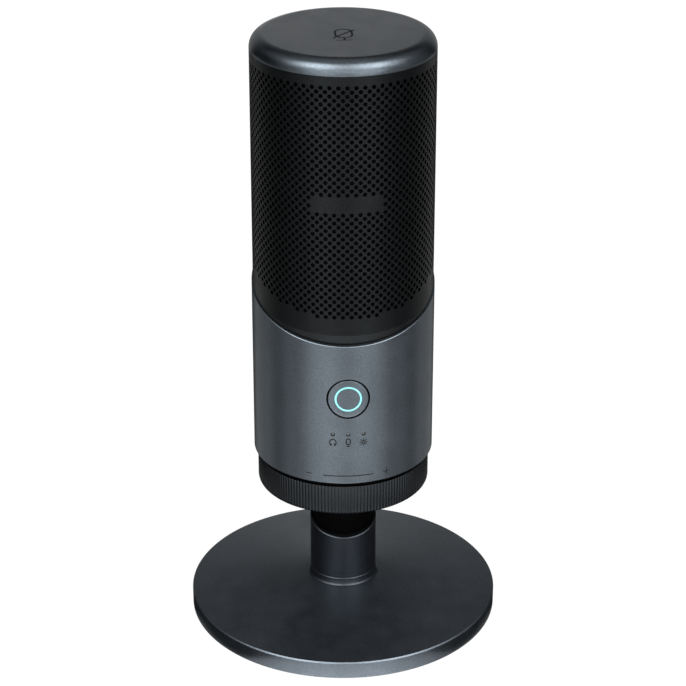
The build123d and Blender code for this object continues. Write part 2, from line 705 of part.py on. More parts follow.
def grille_carrier():
    """Black ring between the shell and the grille, with a floor that the inner parts stand on."""
    body = disc(SHELL_IN_R - FIT_GAP, PILLAR_TOP_Z, BIG) - above_seam(SEAM_GAP / 2)
    body += (disc(SEAM_RING_R, PILLAR_TOP_Z, BIG) & above_seam(0)) - above_seam(SEAM_GAP)
    body += (disc(CARRIER_R, PILLAR_TOP_Z, BIG) & above_seam(SEAM_GAP / 2)) - above_seam(CARRIER_LIP)
    body -= disc(CARRIER_IN_R, FLOOR_TOP_Z, BIG)
    body -= cable_slot()
    for side in (-1, 1):
        body -= Pos(side * PILLAR_X, PILLAR_Y, 0) * disc(M2_R + SLIP, 0, FLOOR_TOP_Z + OVER)
        body -= Pos(side * TOWER_RAIL_X, TOWER_Y, 0) * disc(M2_R + SLIP, 0, FLOOR_TOP_Z + OVER)
    return body


def carrier_screws():
    """Two screws that clamp the carrier and the shell onto the chassis pillars."""
    screw = disc(M2_R, FLOOR_TOP_Z - CARRIER_SCREW_L, FLOOR_TOP_Z + OVER)
    screw += disc(M2_HEAD_R, FLOOR_TOP_Z, FLOOR_TOP_Z + M2_HEAD_T)
    places = [Pos(side * PILLAR_X, PILLAR_Y, 0) for side in (-1, 1)]
    return Compound(children=[place * screw for place in places])


def grille_tube():
    """Round grille of sheet metal, plain here, with a slanted and chamfered lower edge."""
    body = disc(GRILLE_R, PILLAR_TOP_Z, CAP_SEAM_Z) & above_seam(SEAM_GAP)
    low = [e for e in body.edges() if e.geom_type == GeomType.ELLIPSE]
    body = chamfer(low, GRILLE_CHAMFER)
    return body - disc(GRILLE_IN_R, 0, BIG)


def lining(outer, thickness):
    """Sleeve inside the grille, from the carrier up to the cap's skirt."""
    return ring(outer, outer - thickness, PILLAR_TOP_Z, LINING_TOP_Z) & above_seam(CARRIER_LIP + LINING_GAP)


def mesh_liner():
    """Fine wire mesh against the inside of the grille."""
    return lining(LINER_R, LINER_T)


def foam_sleeve():
    """Open-cell foam sleeve inside the mesh."""
    return lining(LINER_R - LINER_T - INNER_GAP, FOAM_T)


def top_cap():
    """Metal cap with a rounded edge and a skirt that plugs into the grille."""
    body = disc(GRILLE_R, CAP_SEAM_Z, CAP_TOP_Z)
    body = fillet(body.edges().filter_by(GeomType.CIRCLE).sort_by(Axis.Z)[-1], CAP_ROUND)
    body += disc(SKIRT_R, SKIRT_BOTTOM_Z, CAP_SEAM_Z + OVER)
    body -= disc(SKIRT_R - SKIRT_WALL, 0, CAP_SEAM_Z + CAP_LEDGE_RISE)
    return body - disc(SKIRT_R - SKIRT_WALL - CAP_LEDGE_W, 0, CAP_TOP_Z - CAP_WALL)


def touch_board():
    """Round touch sensor board under the middle of the cap."""
    return disc(TOUCH_BOARD_R, CAP_TOP_Z - CAP_WALL - TOUCH_BOARD_T, CAP_TOP_Z - CAP_WALL)


def touch_ribbon():
    """Flat cable from the touch sensor board down to the socket board."""
    top_z = CAP_TOP_Z - CAP_WALL - TOUCH_BOARD_T
    return block(-RIBBON_W / 2, RIBBON_W / 2, RIBBON_Y, RIBBON_Y + RIBBON_T, IO_TOP_Z, top_z)


def capsule_tower():
    """Plastic frame on the carrier's floor: two rails, a round holder and a top bar."""
    front_y = TOWER_Y - RAIL_HALF_Y
    back_y = TOWER_Y + RAIL_HALF_Y
    tower = rod_y(HOLDER_R, 0, CAPSULE_Z, HOLDER_FRONT_Y, HOLDER_BACK_Y)
    for side in (-1, 1):
        x = side * TOWER_RAIL_X
        tower += block(x - RAIL_HALF_X, x + RAIL_HALF_X, front_y, back_y, FLOOR_TOP_Z, TOWER_TOP_Z)
        tower += Pos(x, TOWER_Y, FLOOR_TOP_Z) * Box(FOOT_W, FOOT_W, FOOT_T, align=MIN_Z)
        tower -= Pos(x, TOWER_Y, 0) * disc(M2_R + FACE_GAP, 0, FLOOR_TOP_Z + TOWER_SCREW_L + SLIP)
    tower += block(-TOWER_RAIL_X, TOWER_RAIL_X, front_y, back_y, TOWER_TOP_Z - TOWER_BAR_T, TOWER_TOP_Z)
    return tower - rod_y(SHOCK_R, 0, CAPSULE_Z, HOLDER_FRONT_Y - OVER, HOLDER_BACK_Y + OVER)


def tower_screws():
    """Two screws that hold the tower from below the carrier's floor."""
    screw = disc(M2_R, PILLAR_TOP_Z - M2_HEAD_T / 2, FLOOR_TOP_Z + TOWER_SCREW_L)
    screw += disc(M2_HEAD_R, PILLAR_TOP_Z - M2_HEAD_T, PILLAR_TOP_Z)
    places = [Pos(side * TOWER_RAIL_X, TOWER_Y, 0) for side in (-1, 1)]
    return Compound(children=[place * screw for place in places])


def capsule_shock_mount():
    """Rubber ring that isolates the capsule from the tower."""
    outer = rod_y(SHOCK_R - FACE_GAP, 0, CAPSULE_Z, HOLDER_FRONT_Y, HOLDER_BACK_Y)
    return outer - rod_y(CAPSULE_R + FACE_GAP, 0, CAPSULE_Z, HOLDER_FRONT_Y - OVER, HOLDER_BACK_Y + OVER)


def microphone_capsule():
    """Condenser capsule that faces the front, with a shallow recess over its membrane."""
    body = rod_y(CAPSULE_R, 0, CAPSULE_Z, CAPSULE_FRONT_Y, CAPSULE_BACK_Y)
    return body - rod_y(MEMBRANE_R, 0, CAPSULE_Z, CAPSULE_FRONT_Y - OVER, CAPSULE_FRONT_Y + MEMBRANE_DEPTH)


def capsule_board():
    """Small round preamplifier board on the back of the capsule."""
    return rod_y(CAPSULE_BOARD_R, 0, CAPSULE_Z, CAPSULE_BACK_Y, CAPSULE_BACK_Y + CAPSULE_BOARD_T)


def capsule_lead():
    """Screened lead from the capsule's board down to the back of the main board."""
    start = (0, CAPSULE_BACK_Y + CAPSULE_BOARD_T, CAPSULE_Z)
    upper = (0, LEAD_Y, CAPSULE_Z)
    lower = (0, LEAD_Y, LEAD_PLUG_Z)
    end = (0, BOARD_BACK_Y, LEAD_PLUG_Z)
    path = FilletPolyline(start, upper, lower, end, radius=LEAD_BEND_R)
    section = Plane(origin=start, x_dir=(1, 0, 0), z_dir=(0, 1, 0)) * Circle(LEAD_R)
    return sweep(section, path)


# ---------------------------------------------------------------- output

os.makedirs("parts", exist_ok=True)

SUB_PARTS = [
    foot_pad,
    base_plate,
    base_ballast,
    base_screw,
    base_washer,
    post_collar,
    stand_post,
    hinge_bracket,
    friction_washers,
    swivel_neck,
    hinge_pin,
    neck_stud,
    neck_washer,
    bottom_cover,
    bottom_cover_screws,
    lower_hub,
    thread_insert,
    dial_ring,
    dial_magnet_ring,
    dial_sensor_board,
    body_shell,
    chassis,
    chassis_screws,
    main_board,
    main_board_screws,
    tact_switch,
    switch_plunger,
    button_cap,
    button_light_ring,
    button_guide,
    indicator_light_guide,
    io_board,
    usb_c_socket,
    headphone_jack,
    grille_carrier,
    carrier_screws,
    grille_tube,
    mesh_liner,
    foam_sleeve,
    top_cap,
    touch_board,
    touch_ribbon,
    capsule_tower,
    tower_screws,
    capsule_shock_mount,
    microphone_capsule,
    capsule_board,
    capsule_lead,
]

for make in SUB_PARTS:
    save(make.__name__, make())
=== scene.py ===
import json
import math

import bmesh
import bpy
import numpy as np
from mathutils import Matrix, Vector


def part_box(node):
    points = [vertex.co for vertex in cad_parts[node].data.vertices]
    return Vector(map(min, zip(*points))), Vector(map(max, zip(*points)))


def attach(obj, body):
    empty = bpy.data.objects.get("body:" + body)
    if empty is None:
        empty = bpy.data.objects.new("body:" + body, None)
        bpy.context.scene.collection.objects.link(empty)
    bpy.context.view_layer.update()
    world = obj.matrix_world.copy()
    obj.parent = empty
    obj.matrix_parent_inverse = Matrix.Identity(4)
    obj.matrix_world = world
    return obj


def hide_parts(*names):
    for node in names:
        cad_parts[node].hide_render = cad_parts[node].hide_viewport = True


# Looks of the desktop microphone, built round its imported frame. Metres, +Z up, the front faces -Y.

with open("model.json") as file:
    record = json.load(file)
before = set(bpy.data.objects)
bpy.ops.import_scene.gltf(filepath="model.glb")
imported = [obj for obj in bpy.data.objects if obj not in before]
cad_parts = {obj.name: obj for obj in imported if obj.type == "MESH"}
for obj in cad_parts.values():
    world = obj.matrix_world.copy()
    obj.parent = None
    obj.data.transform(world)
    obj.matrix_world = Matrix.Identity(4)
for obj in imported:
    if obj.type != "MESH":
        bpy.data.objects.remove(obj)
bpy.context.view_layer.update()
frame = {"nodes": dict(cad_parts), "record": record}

MM = 0.001
SEGMENTS = 256
SHARP_ANGLE = math.radians(28)

# Camera: azimuth is to the right of the front, elevation above the horizon
CAMERA_AZIMUTH = -3.2
CAMERA_ELEVATION = 25.35
CAMERA_DISTANCE = 727.2 * MM
CAMERA_AIM_X = -0.04 * MM
CAMERA_AIM_Z = 93.5 * MM
CAMERA_LENS = 120.26

# Slants of the two cuts, as rise over run towards the back
SEAM_SLOPE = 0.365
POST_SLOPE = 0.328

# Soft lights in pairs, one on each side of the front: azimuth, elevation (below zero for light off
# the floor), spread in degrees, strength on the left and strength on the right. The studio's middle
# is LIGHTS_TURN to the right of the front.
LIGHTS_TURN = -0.5
SIDE_LIGHTS = [
    (35, 46, 40, 2.6, 2.3),
    (60, 40, 40, 0.75, 0.85),
    (110, 40, 40, 0.08, 0.08),
    (90, 72, 40, 0.06, 0.06),
    (25.5, 3, 44, 1.05, 1.2),
    (60, 3, 44, 0.15, 0.15),
    (165, 3, 44, 0.18, 0.18),
    (25.5, -35, 44, 0.46, 0.34),
    (60, -35, 44, 0.18, 0.14),
    (95, -35, 44, 0.11, 0.11),
    (130, -35, 44, 0.18, 0.18),
    (20, -52, 30, 0.64, 0.64),
    (60, -54, 32, 0.5, 0.5),
]

# Soft lights that have no twin: azimuth right of the front, elevation, spread in degrees and strength
SINGLE_LIGHTS = [
    (95, 3, 44, 0.1),
    (0, 22, 30, 0.3),
    (0, -35, 44, 0.1),
    (180, 38, 36, 0.015),
    (180, 72, 40, 0.15),
]

# Top cap
CAP_ROUND = 4.3 * MM
CAP_WALL = 2.0 * MM
CAP_EDGE = 0.08 * MM
CAP_LIFT = 0.02 * MM
CAP_STEP = 2.5 * MM
CAP_STEP_RISE = 0.6 * MM
SKIRT_WALL = 2.0 * MM
SKIRT_CLEAR = 0.05 * MM

# Grille
GRILLE_WALL = 0.8 * MM
GRILLE_SHEET = 0.4 * MM
GRILLE_EDGE = 0.12 * MM
GRILLE_TURN = math.radians(-0.66)
CHAMFER_FRONT = 3.1 * MM
CHAMFER_FALL = 5.6 * MM
CHAMFER_LEAST = 0.35 * MM
CHAMFER_SLOPE = 0.18
CHAMFER_CLEAR = 0.4 * MM
SEAM_GAP = 0.35 * MM
HOLES_AROUND = 68
ROW_STEP = 1.277 * MM
HOLE_R = 0.69 * MM
HOLE_SIDES = 12
FIRST_ROW_DROP = 3.46 * MM
LAST_ROW_RISE = 8.45 * MM
PATCH_Z = 152.0 * MM
PATCH_HALF_HEIGHT = 2.6 * MM
PATCH_HALF_WIDTH = 11.2 * MM

# Shell and front controls
SHELL_WALL = 2.0 * MM
SHELL_CHAMFER = 0.13 * MM
SHELL_BOTTOM_ROUND = 0.5 * MM
BUTTON_EDGE = 0.14 * MM
BUTTON_DEPTH = 4.4 * MM
BUTTON_LIP_R = 7.3 * MM
BUTTON_LIP_T = 1.0 * MM
BUTTON_STEM_R = 2.0 * MM
BUTTON_STEM_END = 11.0 * MM
BUTTON_FACE_R = 6.24 * MM
BUTTON_HOLE_GAP = 0.51 * MM
LIGHT_RING_WIDTH = 0.55 * MM
LIGHT_RING_DEPTH = 1.2 * MM
LIGHT_RING_LAND = 0.6 * MM
LIGHT_RING_DOME = 0.02 * MM
LIGHT_RING_SHY = 0.03 * MM
INDICATOR_STEP = math.radians(9.6)
INDICATOR_R = 0.6 * MM
INDICATOR_HOLE_GAP = 0.05 * MM
PIN_SINK = 0.5 * MM
PIN_DOME = 0.36 * MM
GUIDE_RISE = 3.0 * MM
GUIDE_T = 1.5 * MM
GUIDE_LEG_T = 1.0 * MM
SOCKET_GAP = 0.3 * MM
JACK_NOZZLE_R = 2.9 * MM

# Dial
DIAL_RIBS = 160
DIAL_RIB_DEPTH = 0.2 * MM
DIAL_ROUND = 1.4 * MM
DIAL_TOP_EDGE = 0.15 * MM
DIAL_BORE_R = 23.68 * MM
DIAL_SHOULDER_R = 25.4 * MM
DIAL_SHOULDER_Z = 49.6 * MM
RIB_PROFILE = [0.0, 0.3, 0.85, 1.0, 1.0, 0.85, 0.3]

# Post, collar and base
POST_CHAMFER = 0.22 * MM
POST_FOOT_EDGE = 0.15 * MM
BALL_SEAT_R = 10.3 * MM
POST_BORE_R = 7.7 * MM
POST_FLOOR_Z = 17.7 * MM
RIM_TOP_Z = 6.0 * MM
COLLAR_EDGE = 0.12 * MM
COLLAR_FOOT_RUN = 0.42 * MM
COLLAR_FOOT_RISE = 0.4 * MM
COLLAR_SAG = 0.05 * MM
COLLAR_LAND = 0.12 * MM
COLLAR_LIP = 0.17 * MM
RIM_EDGE = 0.5 * MM
RIM_EDGE_ANGLE = math.radians(41)
RIM_BOTTOM_ROUND = 0.25 * MM
PAD_EDGE = 0.4 * MM
PAD_CLEAR = 0.05 * MM

# Dark cloth round the base
SHADE_OPENING = math.radians(20)
SHADE_FADE = math.radians(28)
SHADE_TAPER = 16.0 * MM
SHADE_GAP = 1.0 * MM
SHADE_WIDTH = 30.0 * MM
SHADE_DROP = 0.5 * MM
SHADE_STEPS = 96

# Printed signs
INK_LIFT = 0.015 * MM
INK_SINK = 0.03 * MM
SIGN_DROP = 2.9 * MM
SIGN_LINE = 0.36 * MM
MUTE_LINE = 0.66 * MM
LINE_Z = 61.1 * MM
LINE_TURN = math.radians(16.05)
LINE_HALF_T = 0.16 * MM
SIGN_Z = 61.2 * MM
SIGN_TURN = math.radians(25.0)
SIGN_HALF_T = 0.14 * MM
MINUS_HALF = 0.825 * MM
PLUS_HALF = 1.1 * MM
SUN_RAYS = 8
SUN_DISC_R = 0.5 * MM
SUN_RAY_START = 0.85 * MM
SUN_RAY_END = 1.3 * MM
MUTE_SIGN_Y = -3.2 * MM


# ---------------------------------------------------------------- materials

def node_material(name):
    """A material with an empty node tree and its Principled shader, linked to the output."""
    material = bpy.data.materials.new(name)
    material.use_nodes = True
    tree = material.node_tree
    shader = tree.nodes["Principled BSDF"]
    return material, tree, shader


def object_noise(tree, scale, detail=3.0, roughness=0.5, stretch=(1, 1, 1)):
    """Noise in object coordinates, stretched by the given factors. Returns its node."""
    coords = tree.nodes.new("ShaderNodeTexCoord")
    mapping = tree.nodes.new("ShaderNodeMapping")
    mapping.inputs["Scale"].default_value = stretch
    noise = tree.nodes.new("ShaderNodeTexNoise")
    noise.inputs["Scale"].default_value = scale
    noise.inputs["Detail"].default_value = detail
    noise.inputs["Roughness"].default_value = roughness
    tree.links.new(coords.outputs["Object"], mapping.inputs["Vector"])
    tree.links.new(mapping.outputs["Vector"], noise.inputs["Vector"])
    return noise


def colour_between(tree, factor, low, high, start=0.35, stop=0.65):
    """Colour ramp from low to high, driven by a node's output. Returns the ramp node."""
    ramp = tree.nodes.new("ShaderNodeValToRGB")
    ramp.color_ramp.elements[0].position = start
    ramp.color_ramp.elements[0].color = (*low, 1)
    ramp.color_ramp.elements[1].position = stop
    ramp.color_ramp.elements[1].color = (*high, 1)
    tree.links.new(factor, ramp.inputs["Fac"])
    return ramp


def value_between(tree, factor, low, high, start=0.3, stop=0.7):
    """Map a node's output to a range of values. Returns the map node's output."""
    remap = tree.nodes.new("ShaderNodeMapRange")
    remap.inputs["From Min"].default_value = start
    remap.inputs["From Max"].default_value = stop
    remap.inputs["To Min"].default_value = low
    remap.inputs["To Max"].default_value = high
    tree.links.new(factor, remap.inputs["Value"])
    return remap.outputs["Result"]


def add_bump(tree, shader, height, distance, strength=1.0):
    """Bump from a height output, of the given distance in metres."""
    bump = tree.nodes.new("ShaderNodeBump")
    bump.inputs["Distance"].default_value = distance
    bump.inputs["Strength"].default_value = strength
    tree.links.new(height, bump.inputs["Height"])
    tree.links.new(bump.outputs["Normal"], shader.inputs["Normal"])


def satin_metal(name, colour, roughness, grain, variation=0.05, metallic=1.0, spread=0.03):
    """Blasted and anodised or painted metal: fine grain in the bump, slow drift in colour and gloss."""
    material, tree, shader = node_material(name)
    shader.inputs["Metallic"].default_value = metallic
    drift = object_noise(tree, 45, detail=2)
    dark = tuple(c * (1 - variation) for c in colour)
    light = tuple(c * (1 + variation) for c in colour)
    ramp = colour_between(tree, drift.outputs["Fac"], dark, light)
    speckle = object_noise(tree, 2200, detail=2, roughness=0.6)
    mix = tree.nodes.new("ShaderNodeMix")
    mix.data_type = "RGBA"
    mix.blend_type = "MULTIPLY"
    mix.inputs["Factor"].default_value = 1.0
    fleck = colour_between(tree, speckle.outputs["Fac"], (0.86,) * 3, (1.14,) * 3)
    tree.links.new(ramp.outputs["Color"], mix.inputs["A"])
    tree.links.new(fleck.outputs["Color"], mix.inputs["B"])
    tree.links.new(mix.outputs["Result"], shader.inputs["Base Color"])
    gloss = object_noise(tree, 160, detail=3)
    rough = value_between(tree, gloss.outputs["Fac"], roughness - spread, roughness + spread)
    tree.links.new(rough, shader.inputs["Roughness"])
    add_bump(tree, shader, speckle.outputs["Fac"], grain)
    return material


def moulded_plastic(name, colour, roughness, grain=0.01 * MM, scale=1800, gloss=0.5):
    """Plastic with a fine spark-eroded texture."""
    material, tree, shader = node_material(name)
    shader.inputs["Specular IOR Level"].default_value = gloss
    texture = object_noise(tree, scale, detail=3, roughness=0.6)
    dark = tuple(c * 0.8 for c in colour)
    light = tuple(c * 1.25 for c in colour)
    drift = object_noise(tree, 120, detail=2)
    ramp = colour_between(tree, drift.outputs["Fac"], dark, light)
    tree.links.new(ramp.outputs["Color"], shader.inputs["Base Color"])
    rough = value_between(tree, texture.outputs["Fac"], roughness - 0.08, roughness + 0.08)
    tree.links.new(rough, shader.inputs["Roughness"])
    add_bump(tree, shader, texture.outputs["Fac"], grain)
    return material


def machined_metal(name, colour, roughness):
    """Turned or plated metal with fine tool marks round Z."""
    material, tree, shader = node_material(name)
    shader.inputs["Metallic"].default_value = 1.0
    marks = object_noise(tree, 900, detail=4, stretch=(0.15, 0.15, 6))
    dark = tuple(c * 0.85 for c in colour)
    ramp = colour_between(tree, marks.outputs["Fac"], dark, colour)
    tree.links.new(ramp.outputs["Color"], shader.inputs["Base Color"])
    rough = value_between(tree, marks.outputs["Fac"], roughness * 0.8, roughness * 1.3)
    tree.links.new(rough, shader.inputs["Roughness"])
    add_bump(tree, shader, marks.outputs["Fac"], 0.004 * MM)
    return material


def open_foam(name):
    """Black open-cell foam: pores in the bump, and pores darker than the cell walls in the colour as painted
    shade.
    """
    material, tree, shader = node_material(name)
    coords = tree.nodes.new("ShaderNodeTexCoord")
    cells = tree.nodes.new("ShaderNodeTexVoronoi")
    cells.feature = "DISTANCE_TO_EDGE"
    cells.inputs["Scale"].default_value = 1300
    tree.links.new(coords.outputs["Object"], cells.inputs["Vector"])
    # Darker in the middle of each cell than at its walls: painted shade in the pores.
    pore_shade = colour_between(tree, cells.outputs["Distance"], (0.02,) * 3, (0.002,) * 3, 0.02, 0.3)
    tree.links.new(pore_shade.outputs["Color"], shader.inputs["Base Color"])
    shader.inputs["Roughness"].default_value = 0.95
    add_bump(tree, shader, cells.outputs["Distance"], 0.2 * MM)
    return material


def woven_mesh(name):
    """Fine blackened wire cloth: crossed waves round and along the tube, in the bump and in the colour,
    darker between the crests as painted shade.
    """
    material, tree, shader = node_material(name)
    coords = tree.nodes.new("ShaderNodeTexCoord")
    split = tree.nodes.new("ShaderNodeSeparateXYZ")
    tree.links.new(coords.outputs["Object"], split.inputs["Vector"])
    turn = tree.nodes.new("ShaderNodeMath")
    turn.operation = "ARCTAN2"
    tree.links.new(split.outputs["X"], turn.inputs[0])
    tree.links.new(split.outputs["Y"], turn.inputs[1])
    waves = []
    for source, rate in ((turn.outputs["Value"], 720.0), (split.outputs["Z"], 26000.0)):
        scaled = tree.nodes.new("ShaderNodeMath")
        scaled.operation = "MULTIPLY"
        scaled.inputs[1].default_value = rate
        tree.links.new(source, scaled.inputs[0])
        wave = tree.nodes.new("ShaderNodeMath")
        wave.operation = "SINE"
        tree.links.new(scaled.outputs["Value"], wave.inputs[0])
        waves.append(wave)
    top = tree.nodes.new("ShaderNodeMath")
    top.operation = "MAXIMUM"
    tree.links.new(waves[0].outputs["Value"], top.inputs[0])
    tree.links.new(waves[1].outputs["Value"], top.inputs[1])
    # Lighter on the wires' crests, darker between them: painted shade in the gaps of the weave.
    weave_shade = colour_between(tree, top.outputs["Value"], (0.0004,) * 3, (0.004,) * 3, 0.1, 0.9)
    tree.links.new(weave_shade.outputs["Color"], shader.inputs["Base Color"])
    shader.inputs["Metallic"].default_value = 0.6
    shader.inputs["Roughness"].default_value = 0.7
    shader.inputs["Specular IOR Level"].default_value = 0.1
    add_bump(tree, shader, top.outputs["Value"], 0.04 * MM)
    return material


def lit_ring(name):
    """Diffusing light ring that glows cyan, a little uneven round the ring."""
    material, tree, shader = node_material(name)
    glow = object_noise(tree, 260, detail=1)
    colour = colour_between(tree, glow.outputs["Fac"], (0.24, 0.86, 0.88), (0.34, 1.0, 1.0))
    tree.links.new(colour.outputs["Color"], shader.inputs["Emission Color"])
    shader.inputs["Emission Strength"].default_value = 1.0
    shader.inputs["Base Color"].default_value = (0.05, 0.12, 0.13, 1)
    shader.inputs["Roughness"].default_value = 0.4
    return material


def circuit_board(name):
    """Green solder mask over copper traces."""
    material, tree, shader = node_material(name)
    coords = tree.nodes.new("ShaderNodeTexCoord")
    bricks = tree.nodes.new("ShaderNodeTexBrick")
    bricks.inputs["Scale"].default_value = 260
    bricks.inputs["Mortar Size"].default_value = 0.03
    bricks.inputs["Color1"].default_value = (0.012, 0.07, 0.035, 1)
    bricks.inputs["Color2"].default_value = (0.016, 0.085, 0.042, 1)
    bricks.inputs["Mortar"].default_value = (0.03, 0.13, 0.06, 1)
    tree.links.new(coords.outputs["Object"], bricks.inputs["Vector"])
    tree.links.new(bricks.outputs["Color"], shader.inputs["Base Color"])
    shader.inputs["Roughness"].default_value = 0.35
    add_bump(tree, shader, bricks.outputs["Fac"], 0.02 * MM)
    return material


def ink(name, colour):
    """Matt printed ink with a faint mottle."""
    material, tree, shader = node_material(name)
    mottle = object_noise(tree, 3000, detail=2)
    ramp = colour_between(tree, mottle.outputs["Fac"], tuple(c * 0.8 for c in colour), colour)
    tree.links.new(ramp.outputs["Color"], shader.inputs["Base Color"])
    shader.inputs["Roughness"].default_value = 0.6
    shader.inputs["Specular IOR Level"].default_value = 0.1
    return material


def floor_paint(name):
    """Plain pale floor with a faint mottle."""
    material, tree, shader = node_material(name)
    mottle = object_noise(tree, 3, detail=2)
    ramp = colour_between(tree, mottle.outputs["Fac"], (0.99, 0.99, 0.99), (1, 1, 1))
    tree.links.new(ramp.outputs["Color"], shader.inputs["Emission Color"])
    shader.inputs["Emission Strength"].default_value = 1.0
    shader.inputs["Base Color"].default_value = (0.02, 0.02, 0.02, 1)
    shader.inputs["Roughness"].default_value = 0.9
    shader.inputs["Specular IOR Level"].default_value = 0.1
    return material


BODY_METAL = satin_metal("body_metal", (0.095, 0.112, 0.128), 0.33, 0.002 * MM)
STAND_METAL = satin_metal("stand_metal", (0.099, 0.115, 0.133), 0.37, 0.002 * MM, metallic=0.96)
# Stand metal turned down to about four tenths for the post and its collar: painted shade, so the post stands
# darker under the head.
SHADED_STAND_METAL = satin_metal("shaded_stand_metal", (0.038, 0.043, 0.050), 0.37, 0.002 * MM, metallic=0.97)
GRILLE_METAL = satin_metal("grille_metal", (0.0127, 0.0140, 0.0149), 0.38, 0.002 * MM)
DIAL_METAL = satin_metal("dial_metal", (0.022, 0.0245, 0.027), 0.4, 0.002 * MM)
# Black plastic with its colour and gloss turned down below the plastic's own: painted shade for the neck
# under the dial, carried by every black plastic part.
SHADED_BLACK_PLASTIC = moulded_plastic("black_plastic", (0.0013, 0.0013, 0.0015), 0.5, gloss=0.012)
FOOT_RUBBER = moulded_plastic("foot_rubber", (0.014, 0.014, 0.015), 0.85, 0.03 * MM, 900)
STEEL = machined_metal("steel", (0.45, 0.45, 0.46), 0.32)
SOCKET_METAL = machined_metal("socket_metal", (0.6, 0.6, 0.61), 0.25)
BRASS = machined_metal("brass", (0.72, 0.52, 0.22), 0.3)
CAPSULE_METAL = machined_metal("capsule_metal", (0.72, 0.62, 0.42), 0.28)
FIBRE = moulded_plastic("washer_fibre", (0.3, 0.26, 0.2), 0.8)
MAGNET = moulded_plastic("magnet", (0.05, 0.05, 0.055), 0.6)
CLEAR_GUIDE = moulded_plastic("clear_guide", (0.5, 0.52, 0.54), 0.25, 0.003 * MM)
RIBBON = moulded_plastic("ribbon", (0.5, 0.28, 0.07), 0.4, 0.004 * MM)
LEAD_JACKET = moulded_plastic("lead_jacket", (0.04, 0.04, 0.04), 0.6)
BOARD = circuit_board("circuit_board")
FOAM = open_foam("foam")
MESH = woven_mesh("mesh")
LIGHT_RING = lit_ring("light_ring")
LENS = moulded_plastic("indicator_lens", (0.02, 0.021, 0.022), 0.2, 0.002 * MM, gloss=1.0)
SHELL_INK = ink("shell_ink", (0.006, 0.0065, 0.007))
CAP_INK = ink("cap_ink", (0.006, 0.0065, 0.007))

SLOT_MATERIALS = {
    "body_metal": BODY_METAL,
    "stand_metal": STAND_METAL,
    "grille_metal": GRILLE_METAL,
    "dial_metal": DIAL_METAL,
    "black_plastic": SHADED_BLACK_PLASTIC,
    "foot_rubber": FOOT_RUBBER,
    "steel": STEEL,
    "washer_fibre": FIBRE,
    "brass": BRASS,
    "magnet": MAGNET,
    "circuit_board": BOARD,
    "light_ring": LIGHT_RING,
    "clear_guide": CLEAR_GUIDE,
    "socket_metal": SOCKET_METAL,
    "mesh": MESH,
    "foam": FOAM,
    "ribbon": RIBBON,
    "capsule_metal": CAPSULE_METAL,
    "lead_jacket": LEAD_JACKET,
}


# ---------------------------------------------------------------- mesh helpers

def new_piece(name, verts, faces, material):
    """A mesh object of the scene from its vertices and faces."""
    mesh = bpy.data.meshes.new(name)
    mesh.from_pydata(verts, [], faces)
    mesh.validate()
    mesh.materials.append(material)
    piece = bpy.data.objects.new(name, mesh)
    bpy.context.scene.collection.objects.link(piece)
    return piece


def smooth(mesh, angle=SHARP_ANGLE):
    """Smooth shading with sharp edges where faces meet at more than the angle."""
    mesh.polygons.foreach_set("use_smooth", [True] * len(mesh.polygons))
    mesh.set_sharp_from_angle(angle=angle)


def radial_normals(mesh):
    """Exact round shading on every face whose corners all lie at one radius from the Z axis."""
    verts = np.array([v.co[:] for v in mesh.vertices])
    radius = np.hypot(verts[:, 0], verts[:, 1])
    loop_vert = np.zeros(len(mesh.loops), int)
    mesh.loops.foreach_get("vertex_index", loop_vert)
    normals = np.zeros(len(mesh.loops) * 3)
    mesh.corner_normals.foreach_get("vector", normals)
    normals = normals.reshape(-1, 3)
    for face in mesh.polygons:
        loops = slice(face.loop_start, face.loop_start + face.loop_total)
        corners = loop_vert[loops]
        r = radius[corners]
        if r.max() - r.min() > 4e-6 or abs(face.normal.z) > 0.2:
            continue
        out = np.column_stack([verts[corners, 0] / r, verts[corners, 1] / r, np.zeros(len(r))])
        middle = out.mean(0)
        facing = 1 if middle[0] * face.normal.x + middle[1] * face.normal.y > 0 else -1
        normals[loops] = out * facing
    mesh.normals_split_custom_set(normals.tolist())


def place(piece, body, slot, *nodes):
    """The piece rides on a body and stands for the named nodes; the slot is not used."""
    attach(piece, body)
    if nodes:
        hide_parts(*nodes)
    return piece


def at_turn(radius, turn, z):
    """Point at a radius and a turn from the front towards the right."""
    return (radius * math.sin(turn), -radius * math.cos(turn), z)


def arc(centre_r, centre_z, radius, start, stop, steps):
    """Points (r, z) on an arc in the section plane, from start to stop in degrees."""
    points = []
    for i in range(steps + 1):
        a = math.radians(start + (stop - start) * i / steps)
        points.append((centre_r + radius * math.cos(a), centre_z + radius * math.sin(a)))
    return points


def slanted(radius, axis_z, slope):
    """Ring on a slanted plane that crosses the axis at axis_z."""
    return lambda turn: (radius, axis_z - slope * radius * math.cos(turn))


def lathe(name, rings, material, segments=SEGMENTS, closed=True):
    """Surface through rings, from the bottom up on the outside. A ring is (radius, z) or a
    function of the turn that gives them. Radius 0 is a pole."""
    verts, rows = [], []
    for ring in rings:
        if not callable(ring) and ring[0] == 0:
            rows.append([len(verts)] * segments)
            verts.append((0, 0, ring[1]))
            continue
        row = []
        for i in range(segments):
            turn = 2 * math.pi * i / segments
            radius, z = ring(turn) if callable(ring) else ring
            row.append(len(verts))
            verts.append(at_turn(radius, turn, z))
        rows.append(row)
    faces = []
    pairs = list(zip(rows, rows[1:]))
    if closed:
        pairs.append((rows[-1], rows[0]))
    for low, high in pairs:
        for i in range(segments):
            j = (i + 1) % segments
            corners = list(dict.fromkeys([low[i], low[j], high[j], high[i]]))
            if len(corners) > 2:
                faces.append(corners)
    return new_piece(name, verts, faces, material)


# ---------------------------------------------------------------- sizes from the frame

